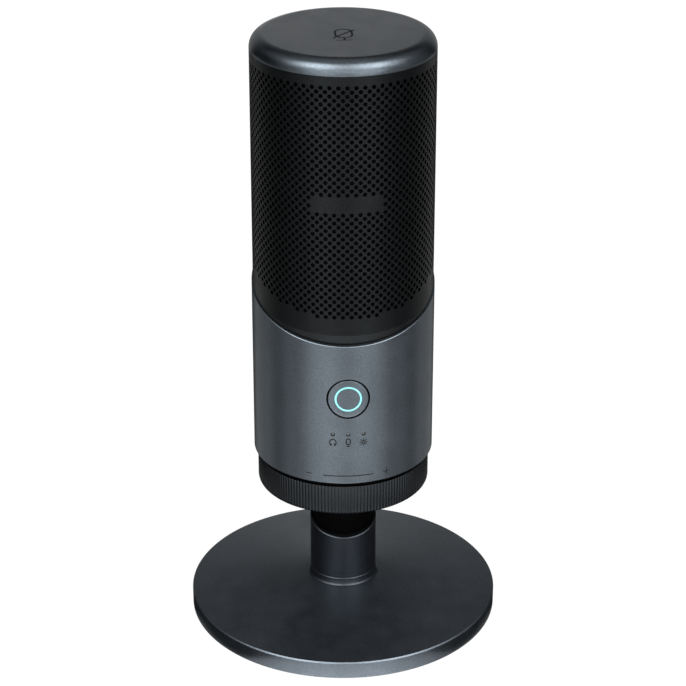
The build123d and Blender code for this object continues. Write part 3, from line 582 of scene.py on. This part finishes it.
cap_low, cap_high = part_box("top_cap")
grille_low, grille_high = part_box("grille_tube")
shell_low, shell_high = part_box("body_shell")
dial_low, dial_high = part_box("dial_ring")
post_low, post_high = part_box("stand_post")
collar_low, collar_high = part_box("post_collar")
base_low, base_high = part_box("base_plate")
pad_low, pad_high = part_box("foot_pad")
pin_low, pin_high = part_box("hinge_pin")
button_low, button_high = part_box("button_cap")
light_low, light_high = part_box("button_light_ring")
guide_low, guide_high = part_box("indicator_light_guide")
usb_low, usb_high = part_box("usb_c_socket")
jack_low, jack_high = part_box("headphone_jack")

SHELL_R = shell_high.x
SEAM_AXIS_Z = shell_high.z - SEAM_SLOPE * SHELL_R
GRILLE_R = grille_high.x
GRILLE_IN_R = GRILLE_R - GRILLE_WALL
CAP_SEAM_Z = grille_high.z
BUTTON_Z = (button_low.z + button_high.z) / 2
BUTTON_R = button_high.x - (BUTTON_LIP_R - BUTTON_FACE_R)
LIGHT_RING_R = light_high.x
INDICATOR_Z = (guide_low.z + guide_high.z) / 2
PIVOT_Z = (pin_low.z + pin_high.z) / 2


# ---------------------------------------------------------------- head: cap and grille

def top_cap():
    """Metal cap: flat top, rounded edge, fine edge at the seam, and the skirt inside the grille."""
    top = cap_high.z - 2 * INK_LIFT
    skirt_r = GRILLE_IN_R - SKIRT_CLEAR
    hollow_r = skirt_r - SKIRT_WALL
    step_r = hollow_r - CAP_STEP
    step_z = CAP_SEAM_Z + CAP_STEP_RISE
    rings = [(0, top - CAP_WALL), (step_r, top - CAP_WALL), (step_r, step_z), (hollow_r, step_z)]
    rings += [(hollow_r, cap_low.z), (skirt_r, cap_low.z), (skirt_r, CAP_SEAM_Z)]
    rings += [(GRILLE_R - CAP_EDGE, CAP_SEAM_Z + CAP_LIFT)]
    rings += arc(GRILLE_R - CAP_EDGE, CAP_SEAM_Z + CAP_EDGE, CAP_EDGE, -60, 0, 3)
    rings += arc(GRILLE_R - CAP_ROUND, top - CAP_ROUND, CAP_ROUND, 0, 90, 24)
    rings += [((GRILLE_R - CAP_ROUND) * f, top) for f in (0.97, 0.7, 0.35)]
    piece = lathe("cap_shell", rings + [(0, top)], BODY_METAL, closed=False)
    smooth(piece.data)
    # The skirt inside the grille takes the near-black plastic instead of the cap's metal: painted shade where
    # it shows through the grille's holes.
    piece.data.materials.append(SHADED_BLACK_PLASTIC)
    for face in piece.data.polygons:
        if face.center.z < CAP_SEAM_Z:
            face.material_index = 1
    place(piece, "head", "body_metal", "top_cap")


def grille():
    """Perforated tube. The sheet is a lattice of diamond cells, each plain or with a round hole,
    between a plain band at the top and one along the slanted lower edge, which has a chamfer that
    is tall at the front and dies out towards the sides."""
    columns = 2 * HOLES_AROUND
    step = 2 * math.pi / columns
    first_z = CAP_SEAM_Z - FIRST_ROW_DROP
    inner_r = GRILLE_R - GRILLE_SHEET
    verts, faces, lattice = [], [], {}

    def turn_of(column):
        return column * step + GRILLE_TURN

    def point(radius, turn, z):
        verts.append(at_turn(radius, turn, z))
        return len(verts) - 1

    def corner(radius, column, row):
        key = (radius, column % columns, row)
        if key not in lattice:
            lattice[key] = point(radius, turn_of(column), first_z + row * ROW_STEP)
        return lattice[key]

    def edge_z(column):
        return SEAM_AXIS_Z + SEAM_GAP - SEAM_SLOPE * GRILLE_R * math.cos(turn_of(column))

    def chamfer(column):
        return max(CHAMFER_LEAST, CHAMFER_FRONT - CHAMFER_FALL * (1 - math.cos(turn_of(column))))

    def perforated(column, row):
        z = first_z + row * ROW_STEP
        if row > 0 or z < edge_z(column) + LAST_ROW_RISE:
            return False
        around = GRILLE_R * ((column * step + math.pi) % (2 * math.pi) - math.pi)
        return abs(z - PATCH_Z) > PATCH_HALF_HEIGHT or abs(around) > PATCH_HALF_WIDTH

    def hole(radius, column, row):
        ring = []
        for i in range(HOLE_SIDES):
            a = 2 * math.pi * i / HOLE_SIDES
            turn = turn_of(column) + HOLE_R * math.cos(a) / GRILLE_R
            ring.append(point(radius, turn, first_z + row * ROW_STEP + HOLE_R * math.sin(a)))
        return ring

    lowest = []
    for column in range(columns):
        row = math.ceil((edge_z(column) + chamfer(column) + CHAMFER_CLEAR - first_z) / ROW_STEP) + 1
        lowest.append(row + (row + column) % 2)
    highest = [-(column % 2) for column in range(columns)]
    quarter = HOLE_SIDES // 4
    for column in range(columns):
        for row in range(lowest[column], highest[column] + 1, 2):
            cell = [(column + 1, row), (column, row + 1), (column - 1, row), (column, row - 1)]
            outer = [corner(GRILLE_R, *c) for c in cell]
            inner = [corner(inner_r, *c) for c in cell]
            if not perforated(column, row):
                faces.append(outer)
                faces.append(inner[::-1])
                continue
            front = hole(GRILLE_R, column, row)
            back = hole(inner_r, column, row)
            for q in range(4):
                span = [(quarter * (q + 1) - i) % HOLE_SIDES for i in range(quarter + 1)]
                faces.append([outer[q], outer[(q + 1) % 4]] + [front[i] for i in span])
                faces.append(([inner[q], inner[(q + 1) % 4]] + [back[i] for i in span])[::-1])
            for i in range(HOLE_SIDES):
                j = (i + 1) % HOLE_SIDES
                faces.append([front[i], front[j], back[j], back[i]])

    def ring(radius, height):
        return [point(radius, turn_of(column), height(column)) for column in range(columns)]

    def chamfer_ring(share):
        row = []
        for column in range(columns):
            rise = chamfer(column)
            radius = GRILLE_R - CHAMFER_SLOPE * rise * (1 - share)
            row.append(point(radius, turn_of(column), edge_z(column) + rise * share))
        return row

    def strip(low, high):
        for i in range(columns):
            j = (i + 1) % columns
            faces.append([low[i], low[j], high[j], high[i]])

    def zigzag(radius, rows, side):
        return [corner(radius, column, rows[column] + side) for column in range(columns)]

    chain = [chamfer_ring(share) for share in (0, 0.06, 1)] + [zigzag(GRILLE_R, lowest, -1)]
    for low, high in zip(chain, chain[1:]):
        strip(low, high)
    upper = [zigzag(GRILLE_R, highest, 1), ring(GRILLE_R, lambda c: CAP_SEAM_Z - GRILLE_EDGE)]
    upper += [ring(GRILLE_R - GRILLE_EDGE, lambda c: CAP_SEAM_Z), ring(inner_r, lambda c: CAP_SEAM_Z)]
    upper += [zigzag(inner_r, highest, 1)]
    for low, high in zip(upper, upper[1:]):
        strip(low, high)
    bottom = ring(GRILLE_R - GRILLE_WALL, edge_z)
    strip(zigzag(inner_r, lowest, -1), bottom)
    strip(bottom, chain[0])
    piece = new_piece("grille_sheet", verts, faces, GRILLE_METAL)
    smooth(piece.data, math.radians(8))
    radial_normals(piece.data)
    place(piece, "head", "grille_metal", "grille_tube")


# ---------------------------------------------------------------- head: shell and front controls

def cutter_y(x, z, radius, y_low, y_high, sides):
    """Round bar along Y, used to cut a hole."""
    verts, faces = [], []
    for y in (y_low, y_high):
        for i in range(sides):
            a = 2 * math.pi * i / sides
            verts.append((x + radius * math.cos(a), y, z + radius * math.sin(a)))
    for i in range(sides):
        j = (i + 1) % sides
        faces.append([i, j, sides + j, sides + i])
    faces.append(list(range(sides))[::-1])
    faces.append(list(range(sides, 2 * sides)))
    return new_piece("cutter", verts, faces, BODY_METAL)


def slot_cutter(low, high, y_low, y_high, gap, steps=12):
    """Bar along Y with the rounded outline of a flat socket, grown by a gap."""
    half_h = (high.z - low.z) / 2 + gap
    centre_z = (high.z + low.z) / 2
    outline = []
    for x, start in ((high.x + gap - half_h, -90), (low.x - gap + half_h, 90)):
        for i in range(steps + 1):
            a = math.radians(start + 180 * i / steps)
            outline.append((x + half_h * math.cos(a), centre_z + half_h * math.sin(a)))
    count = len(outline)
    verts = [(x, y, z) for y in (y_low, y_high) for x, z in outline]
    faces = [[i, (i + 1) % count, count + (i + 1) % count, count + i] for i in range(count)]
    faces += [list(range(count))[::-1], list(range(count, 2 * count))]
    return new_piece("cutter", verts, faces, BODY_METAL)


def cut(piece, cutters):
    """Take the cutters out of the piece and delete them."""
    for cutter in cutters:
        bm = bmesh.new()
        bm.from_mesh(cutter.data)
        bmesh.ops.recalc_face_normals(bm, faces=bm.faces)
        bm.to_mesh(cutter.data)
        bm.free()
        modifier = piece.modifiers.new("cut", "BOOLEAN")
        modifier.operation = "DIFFERENCE"
        modifier.solver = "EXACT"
        modifier.object = cutter
    graph = bpy.context.evaluated_depsgraph_get()
    shape = bpy.data.meshes.new_from_object(piece.evaluated_get(graph))
    piece.modifiers.clear()
    piece.data = shape
    for cutter in cutters:
        bpy.data.objects.remove(cutter)


def body_shell():
    """Round shell with a slanted top, a bright chamfer, a rounded foot and its holes."""
    inner = SHELL_R - SHELL_WALL
    foot = shell_low.z
    rings = [(inner, foot), (SHELL_R - SHELL_BOTTOM_ROUND, foot)]
    rings += arc(SHELL_R - SHELL_BOTTOM_ROUND, foot + SHELL_BOTTOM_ROUND, SHELL_BOTTOM_ROUND, -75, 0, 5)
    rings += [slanted(SHELL_R, SEAM_AXIS_Z - SHELL_CHAMFER, SEAM_SLOPE)]
    rings += [slanted(SHELL_R - SHELL_CHAMFER, SEAM_AXIS_Z, SEAM_SLOPE)]
    rings += [slanted(inner, SEAM_AXIS_Z, SEAM_SLOPE)]
    piece = lathe("shell_tube", rings, BODY_METAL)
    far = SHELL_R + 2 * MM
    cutters = [cutter_y(0, BUTTON_Z, BUTTON_R + BUTTON_HOLE_GAP, -far, -far / 2, 96)]
    for i in (-1, 0, 1):
        x = SHELL_R * math.sin(i * INDICATOR_STEP)
        cutters.append(cutter_y(x, INDICATOR_Z, INDICATOR_R + INDICATOR_HOLE_GAP, -far, -far / 2, 32))
    jack_x = (jack_low.x + jack_high.x) / 2
    jack_z = (jack_low.z + jack_high.z) / 2
    jack_r = JACK_NOZZLE_R + SOCKET_GAP
    cutters.append(cutter_y(jack_x, jack_z, jack_r, far / 2, far, 64))
    cutters.append(slot_cutter(usb_low, usb_high, far / 2, far, SOCKET_GAP))
    cut(piece, cutters)
    smooth(piece.data)
    radial_normals(piece.data)
    place(piece, "head", "body_metal", "body_shell")


def round_on_shell(name, centre_x, centre_z, rings, material, sides=96, closed=False):
    """Round piece that follows the shell's curve. Rings are (radius, depth under the curve),
    from the back to the front and in to the middle."""
    verts, rows = [], []
    for radius, depth in rings:
        count = 1 if radius == 0 else sides
        row = []
        for i in range(count):
            a = 2 * math.pi * i / sides
            x = centre_x + radius * math.cos(a)
            y = depth - math.sqrt(SHELL_R ** 2 - x ** 2)
            row.append(len(verts))
            verts.append((x, y, centre_z + radius * math.sin(a)))
        rows.append(row * sides if count == 1 else row)
    faces = []
    pairs = list(zip(rows, rows[1:]))
    if closed:
        pairs.append((rows[-1], rows[0]))
    for low, high in pairs:
        for i in range(sides):
            j = (i + 1) % sides
            corners = list(dict.fromkeys([low[i], low[j], high[j], high[i]]))
            if len(corners) > 2:
                faces.append(corners)
    piece = new_piece(name, verts, faces, material)
    smooth(piece.data)
    return piece


def button():
    """Metal button with a fine rounded edge and a groove that holds the light ring."""
    inner = LIGHT_RING_R - LIGHT_RING_WIDTH
    front_lip = BUTTON_DEPTH - BUTTON_LIP_T
    rings = [(0, BUTTON_STEM_END), (BUTTON_STEM_R, BUTTON_STEM_END), (BUTTON_STEM_R, BUTTON_DEPTH)]
    rings += [(BUTTON_LIP_R, BUTTON_DEPTH)]
    rings += [(BUTTON_LIP_R, front_lip), (BUTTON_R, front_lip), (BUTTON_R, BUTTON_EDGE)]
    for a in (0.4, 0.8, 1.2):
        rings.append((BUTTON_R - BUTTON_EDGE * (1 - math.cos(a)), BUTTON_EDGE * (1 - math.sin(a))))
    rings += [(BUTTON_R - BUTTON_EDGE, 0), (LIGHT_RING_R + LIGHT_RING_LAND, 0), (LIGHT_RING_R, 0)]
    rings += [(LIGHT_RING_R, LIGHT_RING_DEPTH), (inner, LIGHT_RING_DEPTH), (inner, 0)]
    rings += [(inner * 0.7, 0), (inner * 0.35, 0), (0, 0)]
    piece = round_on_shell("button_face", 0, BUTTON_Z, rings, BODY_METAL)
    place(piece, "button", "body_metal", "button_cap")
    middle = LIGHT_RING_R - LIGHT_RING_WIDTH / 2
    ring = [(inner, LIGHT_RING_DEPTH), (LIGHT_RING_R, LIGHT_RING_DEPTH), (LIGHT_RING_R, LIGHT_RING_SHY)]
    ring += [(middle, -LIGHT_RING_DOME), (inner, LIGHT_RING_SHY)]
    piece = round_on_shell("button_light", 0, BUTTON_Z, ring, LIGHT_RING, closed=True)
    place(piece, "button", "light_ring", "button_light_ring")


def guide_bar():
    """Bar of the indicators' clear moulding, with its two legs on the board, seen from above."""
    room = guide_high.x - GUIDE_LEG_T
    front = guide_high.y - GUIDE_RISE
    left, right, back = guide_low.x, guide_high.x, guide_high.y
    outline = [(left, back), (left, front), (right, front), (right, back)]
    outline += [(room, back), (room, front + GUIDE_T), (-room, front + GUIDE_T), (-room, back)]
    verts = [(x, y, z) for z in (guide_low.z, guide_high.z) for x, y in outline]
    count = len(outline)
    faces = [[i, (i + 1) % count, count + (i + 1) % count, count + i] for i in range(count)]
    for cell in ([0, 1, 6, 7], [1, 2, 5, 6], [2, 3, 4, 5]):
        faces += [cell[::-1], [count + i for i in cell]]
    piece = new_piece("indicator_bar", verts, faces, CLEAR_GUIDE)
    place(piece, "head", "clear_guide", "indicator_light_guide")
    return front


def indicators():
    """Three clear pins with domed ends, a little below the shell's surface, and the bar behind."""
    front = guide_bar()
    for i, name in ((-1, "left"), (0, "middle"), (1, "right")):
        x = SHELL_R * math.sin(i * INDICATOR_STEP)
        back = front + math.sqrt(SHELL_R ** 2 - x ** 2)
        rings = [(0, back), (INDICATOR_R, back), (INDICATOR_R, PIN_SINK)]
        for a in (0.3, 0.6, 0.9, 1.2):
            rings.append((INDICATOR_R * math.cos(a), PIN_SINK - PIN_DOME * math.sin(a)))
        rings += [(0, PIN_SINK - PIN_DOME)]
        piece = round_on_shell(f"indicator_{name}", x, INDICATOR_Z, rings, LENS, sides=32)
        place(piece, "head", "clear_guide")


# ---------------------------------------------------------------- printed signs

def ribbon(points, width, closed=False):
    """Flat band of the given width along 2-D points, as vertices and faces."""
    count = len(points)
    verts, faces = [], []
    for i, p in enumerate(points):
        before = points[i - 1] if closed or i > 0 else p
        after = points[(i + 1) % count] if closed or i < count - 1 else p
        along = Vector((after[0] - before[0], after[1] - before[1])).normalized()
        side = Vector((-along.y, along.x)) * width / 2
        verts += [(p[0] - side.x, p[1] - side.y), (p[0] + side.x, p[1] + side.y)]
    for i in range(count if closed else count - 1):
        j = (i + 1) % count
        faces.append([2 * i, 2 * j, 2 * j + 1, 2 * i + 1])
    return verts, faces


def oval(centre, half_w, half_h, start=0, stop=360, steps=24):
    """Points on an oval from start to stop, in degrees."""
    closed = abs(stop - start) == 360
    points = []
    for i in range(steps if closed else steps + 1):
        a = math.radians(start + (stop - start) * i / steps)
        points.append((centre[0] + half_w * math.cos(a), centre[1] + half_h * math.sin(a)))
    return points


def capsule_outline(centre, half_w, half_h, steps=10):
    """Points round an upright outline with straight sides and round ends."""
    straight = half_h - half_w
    points = oval((centre[0], centre[1] + straight), half_w, half_w, 0, 180, steps)
    return points + oval((centre[0], centre[1] - straight), half_w, half_w, 180, 360 - 1e-6, steps)


def printed(name, parts, mapping, material, body, slot):
    """Thin layer of ink from 2-D parts, laid on a surface by the mapping (u, v, height)."""
    verts, faces = [], []
    for flat, cells in parts:
        start = len(verts)
        count = len(flat)
        verts += [mapping(u, v, INK_LIFT) for u, v in flat]
        verts += [mapping(u, v, -INK_SINK) for u, v in flat]
        used = {}
        for cell in cells:
            faces.append([start + i for i in cell])
            faces.append([start + count + i for i in cell[::-1]])
            for a, b in zip(cell, cell[1:] + cell[:1]):
                used[(a, b)] = True
        for a, b in used:
            if (b, a) not in used:
                faces.append([start + count + a, start + count + b, start + b, start + a])
    piece = new_piece(name, verts, faces, material)
    smooth(piece.data)
    return place(piece, body, slot)


def shell_sign(name, turn, z, parts):
    """Sign printed on the shell round a turn from the front and a height."""
    def mapping(u, v, height):
        return at_turn(SHELL_R + height, turn + u / SHELL_R, z + v)
    printed(name, parts, mapping, SHELL_INK, "head", "body_metal")


def bar(x_low, x_high, y_low, y_high, steps=1):
    """Flat upright or level bar, cut into steps along X so that it can bend."""
    points = [(x_low + (x_high - x_low) * i / steps, (y_low + y_high) / 2) for i in range(steps + 1)]
    return ribbon(points, y_high - y_low)


def post_bar(x, y_low, y_high, width):
    """Upright bar centred on x."""
    return ribbon([(x, y_low), (x, y_high)], width)


def signs():
    """Signs on the shell: headphones, microphone and sun, and the dial's line, minus and plus."""
    line = SIGN_LINE
    sign_z = INDICATOR_Z - SIGN_DROP
    band = ribbon(oval((0, 0.05 * MM), 1.02 * MM, 1.12 * MM, -42, 222, 28), line)
    cups = [post_bar(s * 0.62 * MM, -1.1 * MM, -0.3 * MM, 0.5 * MM) for s in (-1, 1)]
    shell_sign("sign_headphones", -INDICATOR_STEP, sign_z, cups + [band])
    capsule = ribbon(capsule_outline((0, 0.35 * MM), 0.62 * MM, 1.0 * MM), line, closed=True)
    stem = post_bar(0, -1.2 * MM, -0.75 * MM, line)
    foot = bar(-0.6 * MM, 0.6 * MM, -1.4 * MM, -1.15 * MM)
    shell_sign("sign_microphone", 0, sign_z, [capsule, stem, foot])
    rays = []
    for i in range(SUN_RAYS):
        a = 2 * math.pi * i / SUN_RAYS
        ray = [(r * math.cos(a), r * math.sin(a)) for r in (SUN_RAY_START, SUN_RAY_END)]
        rays.append(ribbon(ray, line * 0.9))
    disc = ribbon(oval((0, 0), SUN_DISC_R, SUN_DISC_R, steps=20), line, closed=True)
    shell_sign("sign_sun", INDICATOR_STEP, sign_z, rays + [disc])
    reach = SHELL_R * LINE_TURN
    shell_sign("sign_line", 0, LINE_Z, [bar(-reach, reach, -LINE_HALF_T, LINE_HALF_T, steps=24)])
    minus, plus, thin = MINUS_HALF, PLUS_HALF, SIGN_HALF_T
    shell_sign("sign_minus", -SIGN_TURN, SIGN_Z, [bar(-minus, minus, -thin, thin, steps=2)])
    arms = [bar(-plus, -thin, -thin, thin), bar(thin, plus, -thin, thin), post_bar(0, -plus, plus, 2 * thin)]
    shell_sign("sign_plus", SIGN_TURN, SIGN_Z, arms)


def mute_sign():
    """Crossed-out microphone printed on the cap in front of its middle."""
    line = MUTE_LINE

    def mapping(u, v, height):
        return (u, MUTE_SIGN_Y + v, cap_high.z - 2 * INK_LIFT + height)

    capsule = ribbon(capsule_outline((0, 1.3 * MM), 2.5 * MM, 4.1 * MM, 14), line, closed=True)
    stem = post_bar(0, -4.9 * MM, -2.95 * MM, line)
    foot = bar(-2.35 * MM, 2.35 * MM, -5.35 * MM, -4.9 * MM)
    slash = ribbon([(-3.3 * MM, -2.9 * MM), (3.3 * MM, 4.7 * MM)], line)
    printed("sign_mute", [capsule, stem, foot, slash], mapping, CAP_INK, "head", "body_metal")


# ---------------------------------------------------------------- dial, post and base

def dial():
    """Volume ring with fine upright ribs, and a rounded lower edge where the ribs die out."""
    outer = dial_high.x
    low, high = dial_low.z, dial_high.z
    segments = DIAL_RIBS * len(RIB_PROFILE)

    def ribbed(radius, z, depth):
        def ring(turn):
            i = round(turn * segments / (2 * math.pi)) % len(RIB_PROFILE)
            return radius - depth * (1 - RIB_PROFILE[i]), z
        return ring

    rings = [(DIAL_BORE_R, high), (DIAL_BORE_R, DIAL_SHOULDER_Z)]
    rings += [(DIAL_SHOULDER_R, DIAL_SHOULDER_Z), (DIAL_SHOULDER_R, low)]
    rings += [(outer - DIAL_ROUND, low)]
    curve = arc(outer - DIAL_ROUND, low + DIAL_ROUND, DIAL_ROUND, -80, 0, 9)
    for i, (r, z) in enumerate(curve):
        rings.append(ribbed(r, z, DIAL_RIB_DEPTH * min(1, i / 6)))
    rings += [ribbed(outer, high - DIAL_TOP_EDGE, DIAL_RIB_DEPTH)]
    rings += [ribbed(outer - DIAL_TOP_EDGE, high, DIAL_RIB_DEPTH * 0.5), (outer - 3 * DIAL_TOP_EDGE, high)]
    piece = lathe("dial_grip", rings, DIAL_METAL, segments=segments)
    smooth(piece.data, math.radians(50))
    place(piece, "dial", "dial_metal", "dial_ring", "dial_magnet_ring")


def seat_radius(z):
    """Radius of the cup for the ball at a height."""
    if z >= PIVOT_Z:
        return BALL_SEAT_R
    return math.sqrt(max(BALL_SEAT_R ** 2 - (PIVOT_Z - z) ** 2, POST_BORE_R ** 2))


def post():
    """Round post: slanted top with a bright chamfer, and the cup for the ball inside."""
    outer = post_high.x
    axis_z = post_high.z - POST_SLOPE * outer
    cup_low_z = PIVOT_Z - math.sqrt(BALL_SEAT_R ** 2 - POST_BORE_R ** 2)

    def rim(turn, share=0.0):
        z = axis_z
        for _ in range(12):
            z = axis_z - POST_SLOPE * seat_radius(z) * math.cos(turn)
        z += (cup_low_z - z) * share
        return seat_radius(z), z

    rings = [(0, post_low.z), (outer - POST_FOOT_EDGE, post_low.z), (outer, post_low.z + POST_FOOT_EDGE)]
    rings += [slanted(outer, axis_z - POST_CHAMFER, POST_SLOPE)]
    rings += [slanted(outer - POST_CHAMFER, axis_z, POST_SLOPE)]
    rings += [(lambda turn, share=share / 8: rim(turn, share)) for share in range(9)]
    rings += [(POST_BORE_R, POST_FLOOR_Z), (0, POST_FLOOR_Z)]
    # The post takes the darker copy of the stand metal: painted shade.
    piece = lathe("post_tube", rings, SHADED_STAND_METAL, closed=False)
    smooth(piece.data)
    place(piece, "stand", "stand_metal", "stand_post")


def collar():
    """Foot of the post: a flared edge below, a slightly hollow wall up to the post."""
    low_r, low_z = collar_high.x, collar_low.z
    post_r, top_z = post_high.x, post_low.z
    foot = Vector((low_r - COLLAR_FOOT_RUN, low_z + COLLAR_EDGE + COLLAR_FOOT_RISE))
    stop = Vector((post_r + COLLAR_LAND, top_z - COLLAR_LIP))
    rings = [(0, low_z), (low_r, low_z), (low_r, low_z + COLLAR_EDGE), (foot.x, foot.y)]
    for i in range(1, 9):
        f = i / 9
        p = foot.lerp(stop, f)
        rings.append((p.x - 4 * COLLAR_SAG * f * (1 - f), p.y))
    rings += [(stop.x, stop.y), (stop.x - COLLAR_LIP, top_z), (0, top_z)]
    # The collar takes the darker copy of the stand metal: painted shade.
    piece = lathe("collar_flare", rings, SHADED_STAND_METAL, closed=False)
    smooth(piece.data)
    place(piece, "stand", "stand_metal", "post_collar")


def base():
    """Cast base: rounded rim, shallow cone, and the recess for the pad underneath."""
    outer = base_high.x
    rim_top = RIM_TOP_Z
    low = base_low.z
    centre_r, centre_z = collar_high.x, collar_low.z
    recess = pad_high.z
    recess_r = pad_high.x + PAD_CLEAR
    rings = [(0, recess), (recess_r, recess), (recess_r, low)]
    rings += [(outer - RIM_BOTTOM_ROUND, low)]
    rings += arc(outer - RIM_BOTTOM_ROUND, low + RIM_BOTTOM_ROUND, RIM_BOTTOM_ROUND, -70, 0, 4)
    edge_run, edge_rise = RIM_EDGE * math.sin(RIM_EDGE_ANGLE), RIM_EDGE * math.cos(RIM_EDGE_ANGLE)
    rings += [(outer, rim_top - edge_rise), (outer - edge_run, rim_top)]
    edge_r = outer - edge_run
    for i in range(1, 12):
        f = i / 12
        rings.append((edge_r + (centre_r - edge_r) * f, rim_top + (centre_z - rim_top) * f))
    rings += [(centre_r, centre_z), (0, centre_z)]
    piece = lathe("base_shell", rings, STAND_METAL, closed=False)
    smooth(piece.data)
    place(piece, "stand", "stand_metal", "base_plate")
    edge = PAD_EDGE
    rings = [(0, 0), (pad_high.x - edge, 0), (pad_high.x - edge * 0.3, edge * 0.3), (pad_high.x, edge)]
    rings += [(pad_high.x, pad_high.z), (0, pad_high.z)]
    piece = lathe("pad_disc", rings, FOOT_RUBBER, closed=False)
    smooth(piece.data)
    place(piece, "stand", "foot_rubber", "foot_pad")


# ---------------------------------------------------------------- carried-over nodes and stage

def finish_nodes():
    """Give every node that the frame carries over its slot's material."""
    slots = {part["node"]: part["material_slot"] for part in frame["record"]["subparts"]}
    for name, node in frame["nodes"].items():
        node.data.materials.clear()
        node.data.materials.append(SLOT_MATERIALS[slots[name]])


def floor():
    """Plain pale floor that fills the view. Its light on the object comes from the low soft lights."""
    half = 6.0
    verts = [(-half, -half, 0), (half, -half, 0), (half, half, 0), (-half, half, 0)]
    piece = new_piece("floor", verts, [[0, 1, 2, 3]], floor_paint("floor_paint"))
    piece.visible_glossy = False
    piece.visible_diffuse = False
    piece.visible_transmission = False
    piece.visible_shadow = False


def rim_shade():
    """Dark cloth on the floor round the base, open at the front, out of the camera's sight. It keeps
    the light off the floor away from the sides of the rim, with a soft change at the opening."""
    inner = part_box("base_plate")[1][0] + SHADE_GAP
    verts, faces = [], []
    for step in range(SHADE_STEPS + 1):
        turn = SHADE_OPENING + (2 * math.pi - 2 * SHADE_OPENING) * step / SHADE_STEPS
        fade = max(0, 1 - (min(turn, 2 * math.pi - turn) - SHADE_OPENING) / SHADE_FADE)
        for radius in (inner + SHADE_TAPER * fade ** 2, inner + SHADE_WIDTH):
            verts.append((radius * math.sin(turn), -radius * math.cos(turn), -SHADE_DROP))
        if step:
            last = 2 * step
            faces.append([last - 2, last - 1, last + 1, last])
    piece = new_piece("rim_shade", verts, faces, moulded_plastic("shade_cloth", (0.002,) * 3, 0.8, gloss=0.0))
    piece.visible_camera = False


def from_front(azimuth, elevation, distance, aim_z):
    """Place at an azimuth right of the front and an elevation, seen from a point on the axis."""
    a, e = math.radians(azimuth), math.radians(elevation)
    return Vector((
        distance * math.cos(e) * math.sin(a),
        -distance * math.cos(e) * math.cos(a),
        aim_z + distance * math.sin(e),
    ))


def aimed(thing, place_at, aim):
    """Put a light or camera somewhere and point it at the aim."""
    thing.location = place_at
    thing.rotation_euler = (aim - place_at).to_track_quat("-Z", "Y").to_euler()
    bpy.context.scene.collection.objects.link(thing)


def soft_light(number, azimuth, elevation, spread, strength):
    """Broad light from one side, as wide as its spread in degrees."""
    name = f"soft_light_{number:02d}"
    light = bpy.data.lights.new(name, "SUN")
    light.angle = math.radians(spread)
    light.energy = strength
    aimed(bpy.data.objects.new(name, light), from_front(azimuth, elevation, 2.0, 0.1), Vector((0, 0, 0.1)))


def studio():
    """The soft lights, and a white surround that only the camera sees."""
    lights = list(SINGLE_LIGHTS)
    for azimuth, elevation, spread, left, right in SIDE_LIGHTS:
        lights.append((LIGHTS_TURN - azimuth, elevation, spread, left))
        lights.append((LIGHTS_TURN + azimuth, elevation, spread, right))
    for number, light in enumerate(lights, 1):
        soft_light(number, *light)
    surround = bpy.data.worlds.new("surround")
    surround.use_nodes = True
    surround.node_tree.nodes["Background"].inputs["Color"].default_value = (1, 1, 1, 1)
    for kind in ("diffuse", "glossy", "transmission", "scatter"):
        setattr(surround.cycles_visibility, kind, False)
    bpy.context.scene.world = surround


def camera():
    """Camera at the product view."""
    data = bpy.data.cameras.new("camera")
    data.lens = CAMERA_LENS
    data.sensor_width = 36.0
    data.clip_start = 0.01
    data.clip_end = 50.0
    thing = bpy.data.objects.new("camera", data)
    aim = Vector((CAMERA_AIM_X, 0, CAMERA_AIM_Z))
    place_at = from_front(CAMERA_AZIMUTH, CAMERA_ELEVATION, CAMERA_DISTANCE, 0) + aim
    aimed(thing, place_at, aim)
    bpy.context.scene.camera = thing


finish_nodes()
top_cap()
grille()
body_shell()
button()
indicators()
signs()
mute_sign()
dial()
post()
collar()
base()
floor()
rim_shade()
studio()
camera()
bpy.context.scene.view_settings.view_transform = "Standard"
